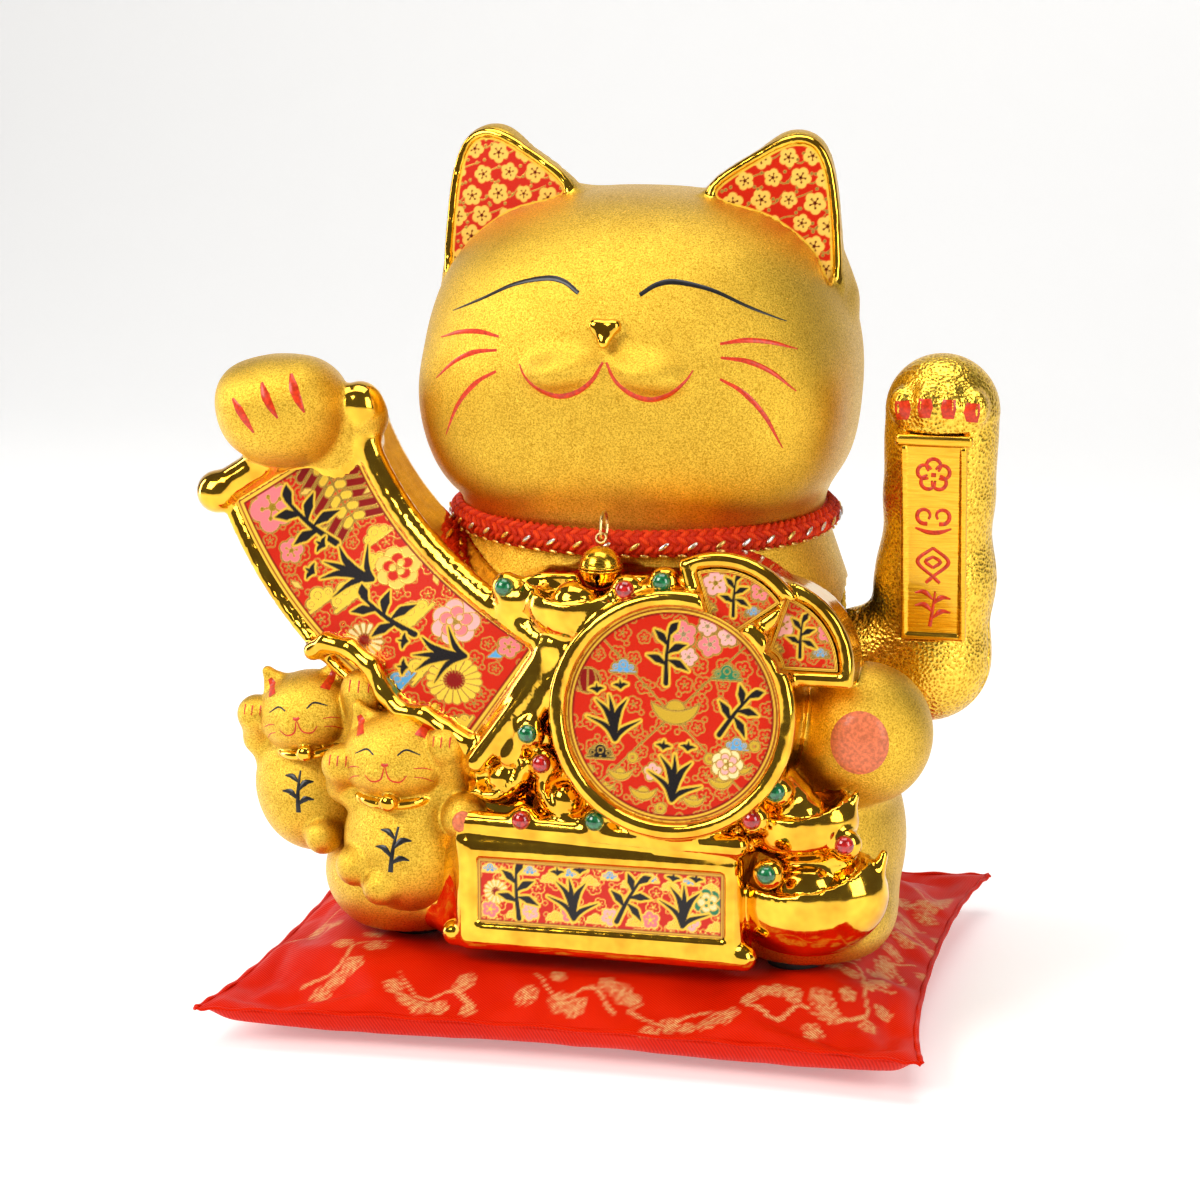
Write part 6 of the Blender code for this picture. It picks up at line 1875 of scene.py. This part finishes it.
def paint(name, colour, rough=0.28):
    """Brushed-on enamel with thick and thin patches."""
    finish = Finish(name, colour, rough, 0.0, Coat_Weight=0.2, Specular_IOR_Level=0.35)
    patches = finish.noise(1.2)
    finish.vary("Base Color", patches, darker(colour, 0.6), colour, 0.35, 0.65)
    finish.vary("Roughness", patches, rough, rough + 0.15)
    finish.set("Normal", finish.bump(patches, 0.06, 0.5))
    return finish.material


def glass(name, colour):
    """A dark cabochon with swirls under a clear coat."""
    finish = Finish(name, colour, 0.12, 0.0, Coat_Weight=1.0, Coat_Roughness=0.03)
    swirl = finish.noise(1.6, 4.0)
    finish.vary("Base Color", swirl, darker(colour, 0.35), colour, 0.4, 0.65)
    finish.vary("Roughness", swirl, 0.08, 0.2)
    return finish.material


def satin():
    """Red satin brocade: a fine twill that shines along its threads, with gold thread in the pattern; painted
    shade darkens the weave's hollows and broad patches of painted sheen lighten it.
    """
    finish = Finish("brocade_satin", RED, 0.4, 0.0)
    twill = finish.waves(2.0, "DIAGONAL", 0.5, 1.0)
    cross = finish.waves(1.5, "X", 0.4)
    weave = finish.multiply(twill, finish.spread(cross, 0, 1, 0.55, 1.0))
    painted_fold_sheen = finish.noise(30.0, 2.0)
    height = finish.spread(weave, 0.0, 0.9, 0.0, 1.0)
    # painted shade: the cloth's colour darkens in the hollows of the weave
    cloth = finish.blend(height, (0.50, 0.006, 0.0004), (0.72, 0.014, 0.0006))
    # painted sheen: broad random patches of lighter red stand for light on the satin's folds
    cloth = finish.blend(finish.spread(painted_fold_sheen, 0.35, 0.7, 0.0, 0.35), cloth, (0.80, 0.022, 0.001))
    # painted shade: the gold thread darkens in the hollows of the weave
    gold = finish.blend(weave, (0.55, 0.20, 0.06), (0.92, 0.62, 0.26))
    worn = finish.spread(finish.noise(0.9), 0.35, 0.6, 0.45, 1.0)
    thread = finish.multiply(finish.attribute("thread"), worn)
    finish.set("Base Color", finish.blend(thread, cloth, gold))
    finish.vary("Roughness", weave, 0.50, 0.34, 0.0, 1.0)
    finish.set("Specular IOR Level", 0.12)
    finish.set("Specular Tint", (1.0, 0.35, 0.2))
    finish.set("Anisotropic", 0.5)
    raised = finish.node("ShaderNodeMath", {0: weave, 1: finish.multiply(thread, 0.8)}, operation="ADD")
    finish.set("Normal", finish.bump(raised.outputs[0], 0.16, 0.6))
    return finish.material


def yarn():
    """Twisted cord, each stitch with its own tint and fine fibres, with painted shade in the hollows between the
    fibres.
    """
    finish = Finish("cord_yarn", RED, 0.6, 0.0, Specular_IOR_Level=0.2)
    fibre = finish.waves(1.8, "X", 3.0)
    tint = finish.attribute("ink", "Color")
    # painted shade: the colour darkens in the hollows between the fibres
    hollow = finish.spread(fibre, 0.0, 1.0, 0.35, 0.0)
    finish.set("Base Color", finish.blend(hollow, tint, (0.30, 0.004, 0.0)))
    finish.vary("Roughness", fibre, 0.7, 0.5, 0.0, 1.0)
    finish.set("Normal", finish.bump(fibre, 0.1, 0.6))
    return finish.material


def tinsel():
    """Metallic thread."""
    finish = Finish("metal_thread", GOLD, 0.25, 0.9)
    fibre = finish.noise(0.4)
    tint = finish.attribute("ink", "Color")
    finish.set("Base Color", finish.blend(finish.spread(fibre, 0.3, 0.7, 0.3, 0.0), tint, (0.3, 0.2, 0.1)))
    finish.vary("Roughness", fibre, 0.2, 0.4)
    return finish.material


def grained(name, colour, rough, metal=0.0, grain_mm=0.5, depth_mm=0.03):
    """A moulded, drawn or cast surface: two close tones, uneven gloss and a fine grain."""
    finish = Finish(name, colour, rough, metal)
    grain, patches = finish.noise(grain_mm), finish.noise(grain_mm * 14, 2.0)
    finish.vary("Base Color", patches, darker(colour, 0.65), colour, 0.35, 0.65)
    finish.vary("Roughness", grain, max(rough - 0.1, 0.05), min(rough + 0.1, 1.0))
    finish.set("Normal", finish.bump(grain, depth_mm, 0.5))
    return finish.material


def wound_copper():
    """Enamelled wire wound in close turns, with painted shade in the grooves between the turns."""
    finish = Finish("wound_copper", (0.75, 0.25, 0.08), 0.3, 1.0)
    turns = finish.waves(2.0, "Z")
    # painted shade: the colour darkens in the grooves between the turns
    finish.set("Base Color", finish.blend(turns, (0.30, 0.07, 0.02), (0.85, 0.33, 0.12)))
    finish.set("Normal", finish.bump(turns, 0.12, 0.8))
    return finish.material


# ---------------------------------------------------------------- the pieces on their bodies
def place_piece(obj, body, material, slot, *nodes):
    """A finished piece: its material, its body, the record's slot (not used) and the CAD nodes it stands for."""
    obj.data.materials.clear()
    obj.data.materials.append(material)
    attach(obj, body)
    if nodes:
        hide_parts(*nodes)
    return obj


def build_casting(gold, red_paint, black_paint, pad_paint):
    """The casting with its painted face, claws and foot pad."""
    skin = Skin(place_piece(casting(), "cat", gold, "frosted_gold", "body_shell"))
    eyes, reds = face_paint(skin)
    place_piece(eyes, "cat", black_paint, "black_plastic")
    place_piece(reds, "cat", red_paint, "decal_red")
    pad = disc_paint("painted_foot_pad", skin, [((89.8, 108.5), 10.5, 11.5)])
    place_piece(pad, "cat", pad_paint, "decal_red")


def build_kittens(gold, red_paint, black_paint, pad_paint):
    """The two kittens with their paint; the one in front shows the sole of a foot."""
    for obj, name, kitten in zip(kittens(), ("kitten_a", "kitten_b"), (KITTEN_A, KITTEN_B)):
        skin = Skin(place_piece(obj, "cat", gold, "frosted_gold"))
        if kitten is KITTEN_B:
            sole = disc_paint("painted_kitten_pad", skin, [((-43.0, 77.0), 3.6, 4.0)])
            place_piece(sole, "cat", pad_paint, "decal_red")
        lines, marks = kitten_paint(name, skin, kitten)
        place_piece(lines, "cat", black_paint, "black_plastic")
        place_piece(marks, "cat", red_paint, "decal_red")


def build_prints(ink):
    """The seven printed films."""
    prints = [(node, shape, paint_ear, FILM_SINK) for node, shape in EARS.items()]
    prints.append(("drum_decal", DRUM, paint_drum, DRUM_SINK))
    prints.extend((node, shape, paint_fan, FILM_SINK) for node, shape in FANS.items())
    prints.append(("plaque_decal", PLAQUE, paint_plaque, PLAQUE_SINK))
    for node, shape, painter, sink in prints:
        film = flat_sheet(node.replace("decal", "print"), shape, painter, sink)
        place_piece(film, "cat", ink, "decal_red", node)
    place_piece(banner_sheet(), "cat", ink, "decal_red", "banner_decal")


def build_beads():
    beads = glass_beads()
    place_piece(beads["green"], "cat", glass("green_glass", (0.01, 0.22, 0.07)), "board_green")
    place_piece(beads["red"], "cat", glass("red_glass", (0.62, 0.012, 0.01)), "decal_red")


def build_arm(gold, plate_gold, red_paint):
    """The waving arm's two shells, its plate, its painted claws and the plate's emblems."""
    front = arm_shell("arm_front", -100, ARM_SPLIT - 0.15)
    place_piece(front, "arm", gold, "arm_gold", "arm_front_shell")
    place_piece(arm_shell("arm_back", ARM_SPLIT + 0.15, 100), "arm", gold, "arm_gold", "arm_back_shell")
    plate = place_piece(arm_plate(), "arm", plate_gold, "bright_gold", "arm_plate")
    skin = Skin(front)
    claws = []
    for x in (-12.4, -4.2, 4.2, 12.4):
        top = 216.5 - 0.16 * abs(x)
        path = ((PAW_X + x, top), (PAW_X + x * 0.98, top - 3.4), (PAW_X + x * 0.96, top - 6.6))
        claws.append((path, (6.4, 7.6, 5.4)))
    place_piece(painted("painted_arm_claws", skin, claws), "arm", red_paint, "decal_red")
    motifs = painted("arm_plate_motifs", Skin(plate), plate_strokes())
    place_piece(motifs, "arm", red_paint, "decal_red")


# Emblems for the plate: each line is its points round the emblem's middle and its widths.
def blossom_lines():
    """Five round petals and a dot."""
    lines = []
    for k in range(5):
        a = math.pi / 2 + 2 * math.pi * k / 5
        loop = [(3.2 * math.cos(a) + 2.5 * math.cos(b), 3.2 * math.sin(a) + 2.5 * math.sin(b))
                for b in np.linspace(a + 2.4, a - 2.4, 7)]
        lines.append((loop, (1.2, 1.9, 1.9, 1.2)))
    return lines + [(((-0.8, 0), (0.8, 0)), (2.2, 2.2))]


def scroll_lines():
    """A cloud scroll: two curls that mirror each other over a shallow curve."""
    lines = []
    for side in (-1, 1):
        curl = [(side * (3.0 + 2.6 * math.cos(a) * (1 - a / 12)), 2.6 * math.sin(a) * (1 - a / 12) + 1.4)
                for a in np.linspace(-1.9, 3.8, 9)]
        lines.append((curl, (2.1, 2.0, 1.2)))
    return lines + [(((-6.2, -3.0), (-2.0, -4.4), (2.0, -4.4), (6.2, -3.0)), (0.9, 2.3, 2.3, 0.9))]


def knot_lines():
    """A loop of cord that crosses below, with a smaller loop inside it."""
    lines = []
    for flip in (-1, 1):
        for points in (((0, 6), (5.4 * flip, 1.0), (0, -4.4)), ((0, 2.8), (2.6 * flip, 1.0), (0, -1.2)),
                       ((0, -4.4), (2.4 * flip, -6.6))):
            lines.append((points, (1.5, 2.0, 1.5)))
    return lines


def sprig_lines():
    """A stem with four leaves."""
    lines = [(((-1.0, -6.4), (0.0, 0.0), (0.8, 6.2)), (1.9, 1.6, 1.0))]
    for z, flip in ((-3.4, 1), (-1.2, -1), (1.6, 1), (3.4, -1)):
        lines.append((((0, z), (3.0 * flip, z + 2.6), (6.2 * flip, z + 2.2)), (0.8, 2.9, 0.6)))
    return lines


PLATE_EMBLEMS = ((23, blossom_lines), (7, scroll_lines), (-9, knot_lines), (-25, sprig_lines))


def plate_strokes():
    """The raised red emblems, each at its height above the middle of the arm's plate."""
    middle_x, _, middle_z = ARM_PLATE[0]
    raised = {"thick": 3.2, "start": -80.0}
    return [([(middle_x + x, middle_z + height + z) for x, z in points], widths, raised)
            for height, emblem in PLATE_EMBLEMS for points, widths in emblem()]


def build_collar(gold):
    """The plaited cord round the neck and the two halves of the bell."""
    plait, core, threads = collar()
    cord_material = yarn()
    place_piece(plait, "cat", cord_material, "cord_red", "collar_cord")
    place_piece(core, "cat", cord_material, "cord_red")
    place_piece(threads, "cat", tinsel(), "steel")
    top, bottom = bell_halves()
    place_piece(top, "bell", gold, "bright_gold", "bell_upper_half")
    place_piece(bottom, "bell", gold, "bright_gold", "bell_lower_half")


# Name, colour, roughness, metal, grain size and grain depth (both in mm) for each slot of the record.
GRAINED_SLOTS = {
    "frosted_gold": ("inner_gold", FROST_PALE, 0.4, 1.0),
    "bright_gold": ("fitting_gold", GLOSS_PALE, 0.15, 1.0),
    "arm_gold": ("inner_arm_gold", FROST_PALE, 0.35, 1.0),
    "decal_red": ("plain_red", RED, 0.4),
    "brocade": ("plain_cloth", RED, 0.6),
    "cord_red": ("plain_cord", RED, 0.6),
    "filling": ("wadding", (0.80, 0.79, 0.75), 0.95, 0.0, 1.2, 0.6),
    "rubber": ("black_rubber", (0.022, 0.021, 0.020), 0.75, 0.0, 0.4, 0.05),
    "black_plastic": ("black_moulding", (0.030, 0.030, 0.032), 0.42, 0.0, 0.35, 0.04),
    "white_plastic": ("white_moulding", (0.78, 0.77, 0.72), 0.38, 0.0, 0.35, 0.02),
    "steel": ("drawn_steel", (0.62, 0.63, 0.65), 0.28, 1.0, 0.3, 0.02),
    "brass": ("turned_brass", (0.80, 0.58, 0.24), 0.3, 1.0, 0.3, 0.02),
    "board_green": ("circuit_board_green", (0.015, 0.16, 0.06), 0.35, 0.0, 0.8, 0.03),
    "cell_wrap": ("cell_wrap", (0.05, 0.07, 0.11), 0.25, 0.0, 0.5, 0.01),
    "wire_red": ("wire_red", (0.60, 0.02, 0.02), 0.4, 0.0, 0.4, 0.02),
}


def slot_finish(slot):
    return wound_copper() if slot == "copper" else grained(*GRAINED_SLOTS[slot])


def dress_cad_nodes():
    """Every CAD node gets the finish of its slot in the record."""
    made = {}
    for subpart in frame["record"]["subparts"]:
        node, slot = subpart["node"], subpart["material_slot"]
        if slot not in made:
            made[slot] = slot_finish(slot)
        mesh = frame["nodes"][node].data
        mesh.materials.clear()
        mesh.materials.append(made[slot])


# ---------------------------------------------------------------- the stage, the lamps and the camera
def stage_material():
    finish = Finish("pale_floor", (0.90, 0.90, 0.90), 0.6, Emission_Color=(1, 1, 1), Emission_Strength=0.28)
    finish.vary("Roughness", finish.noise(40), 0.55, 0.7)
    return finish.material


def stage():
    """A pale floor that curves up behind the object."""
    profile = [(-1.6, 0.0), (1.0, 0.0)]
    bend = np.linspace(0.15, math.pi / 2, 10)
    profile += [(1.0 + 0.6 * math.sin(a), 0.6 - 0.6 * math.cos(a)) for a in bend]
    profile.append((1.6, 2.6))
    points = [(x, y, z) for y, z in profile for x in (-2.6, 2.6)]
    faces = [(2 * i, 2 * i + 1, 2 * i + 3, 2 * i + 2) for i in range(len(profile) - 1)]
    obj = mesh_object("studio_sweep", np.array(points), np.array(faces))
    obj.data.materials.append(stage_material())


def lamp(name, place, aim, size, power, colour=(1, 1, 1)):
    data = bpy.data.lights.new(name, "AREA")
    data.shape = "RECTANGLE"
    data.size, data.size_y = size
    data.energy = power
    data.color = colour
    obj = new_object(name, data)
    obj.location = place
    obj.rotation_euler = (Vector(aim) - Vector(place)).to_track_quat("-Z", "Y").to_euler()


def lights():
    aim = (0, 0, 0.15)
    lamp("key", (-0.75, -0.95, 0.95), aim, (0.7, 0.7), 14, (1.0, 0.97, 0.92))
    lamp("fill", (1.05, -0.75, 0.55), aim, (0.5, 0.9), 8, (1.0, 0.98, 0.95))
    lamp("top", (0.0, -0.05, 1.35), aim, (1.0, 0.8), 9)
    lamp("left_strip", (-1.1, 0.1, 0.4), aim, (0.2, 0.9), 5)
    world = bpy.data.worlds.new("studio")
    bpy.context.scene.world = world
    world.use_nodes = True
    ground = world.node_tree.nodes["Background"]
    ground.inputs["Color"].default_value = (0.80, 0.78, 0.75, 1)
    seen = world.node_tree.nodes.new("ShaderNodeLightPath")
    strength = world.node_tree.nodes.new("ShaderNodeMapRange")
    strength.inputs["To Min"].default_value = 0.14
    strength.inputs["To Max"].default_value = 1.0
    world.node_tree.links.new(seen.outputs["Is Camera Ray"], strength.inputs["Value"])
    world.node_tree.links.new(strength.outputs["Result"], ground.inputs["Strength"])


CAMERA_TURN, CAMERA_RISE = math.radians(12), math.radians(12)
CAMERA_FAR = 1.2  # metres, as is the point it aims at
CAMERA_AIM = Vector((0, 0, 0.165))
CAMERA_LENS = 100.8
CAMERA_SHIFT = (-0.0383, -0.0708)


def camera():
    """A long lens to the front, a little to the right and above."""
    level = math.cos(CAMERA_RISE)
    back = Vector((math.sin(CAMERA_TURN) * level, -math.cos(CAMERA_TURN) * level, math.sin(CAMERA_RISE)))
    data = bpy.data.cameras.new("camera")
    data.lens = CAMERA_LENS
    data.shift_x, data.shift_y = CAMERA_SHIFT
    data.clip_start = 0.01
    obj = new_object("camera", data)
    obj.location = CAMERA_AIM + back * CAMERA_FAR
    obj.rotation_euler = (-back).to_track_quat("-Z", "Y").to_euler()
    bpy.context.scene.camera = obj
    bpy.context.scene.view_settings.view_transform = "Standard"


# ---------------------------------------------------------------- everything together
dress_cad_nodes()
RED_PAINT = paint("red_enamel", (0.74, 0.040, 0.004))
BLACK_PAINT = paint("black_enamel", (0.010, 0.009, 0.010))
PAD_PAINT = paint("pad_pink", (0.84, 0.20, 0.075), 0.45)
POLISHED = polished_gold()
CASTING_GOLD = cast_gold()
build_casting(CASTING_GOLD, RED_PAINT, BLACK_PAINT, PAD_PAINT)
build_kittens(CASTING_GOLD, RED_PAINT, BLACK_PAINT, PAD_PAINT)
build_prints(print_ink())
build_beads()
build_arm(hammered_gold(), POLISHED, RED_PAINT)
build_collar(POLISHED)
for foot in [name for name in frame["nodes"] if name.startswith("rubber_foot")]:
    place_piece(rubber_foot(foot), "cat", slot_finish("rubber"), "rubber", foot)
SATIN = satin()
COVER = cushion()
place_piece(wadding(COVER), "cushion", slot_finish("filling"), "filling", "cushion_filling")
place_piece(COVER, "cushion", SATIN, "brocade", "cushion_cover")
place_piece(cushion_welt(), "cushion", SATIN, "brocade")
stage()
lights()
camera()
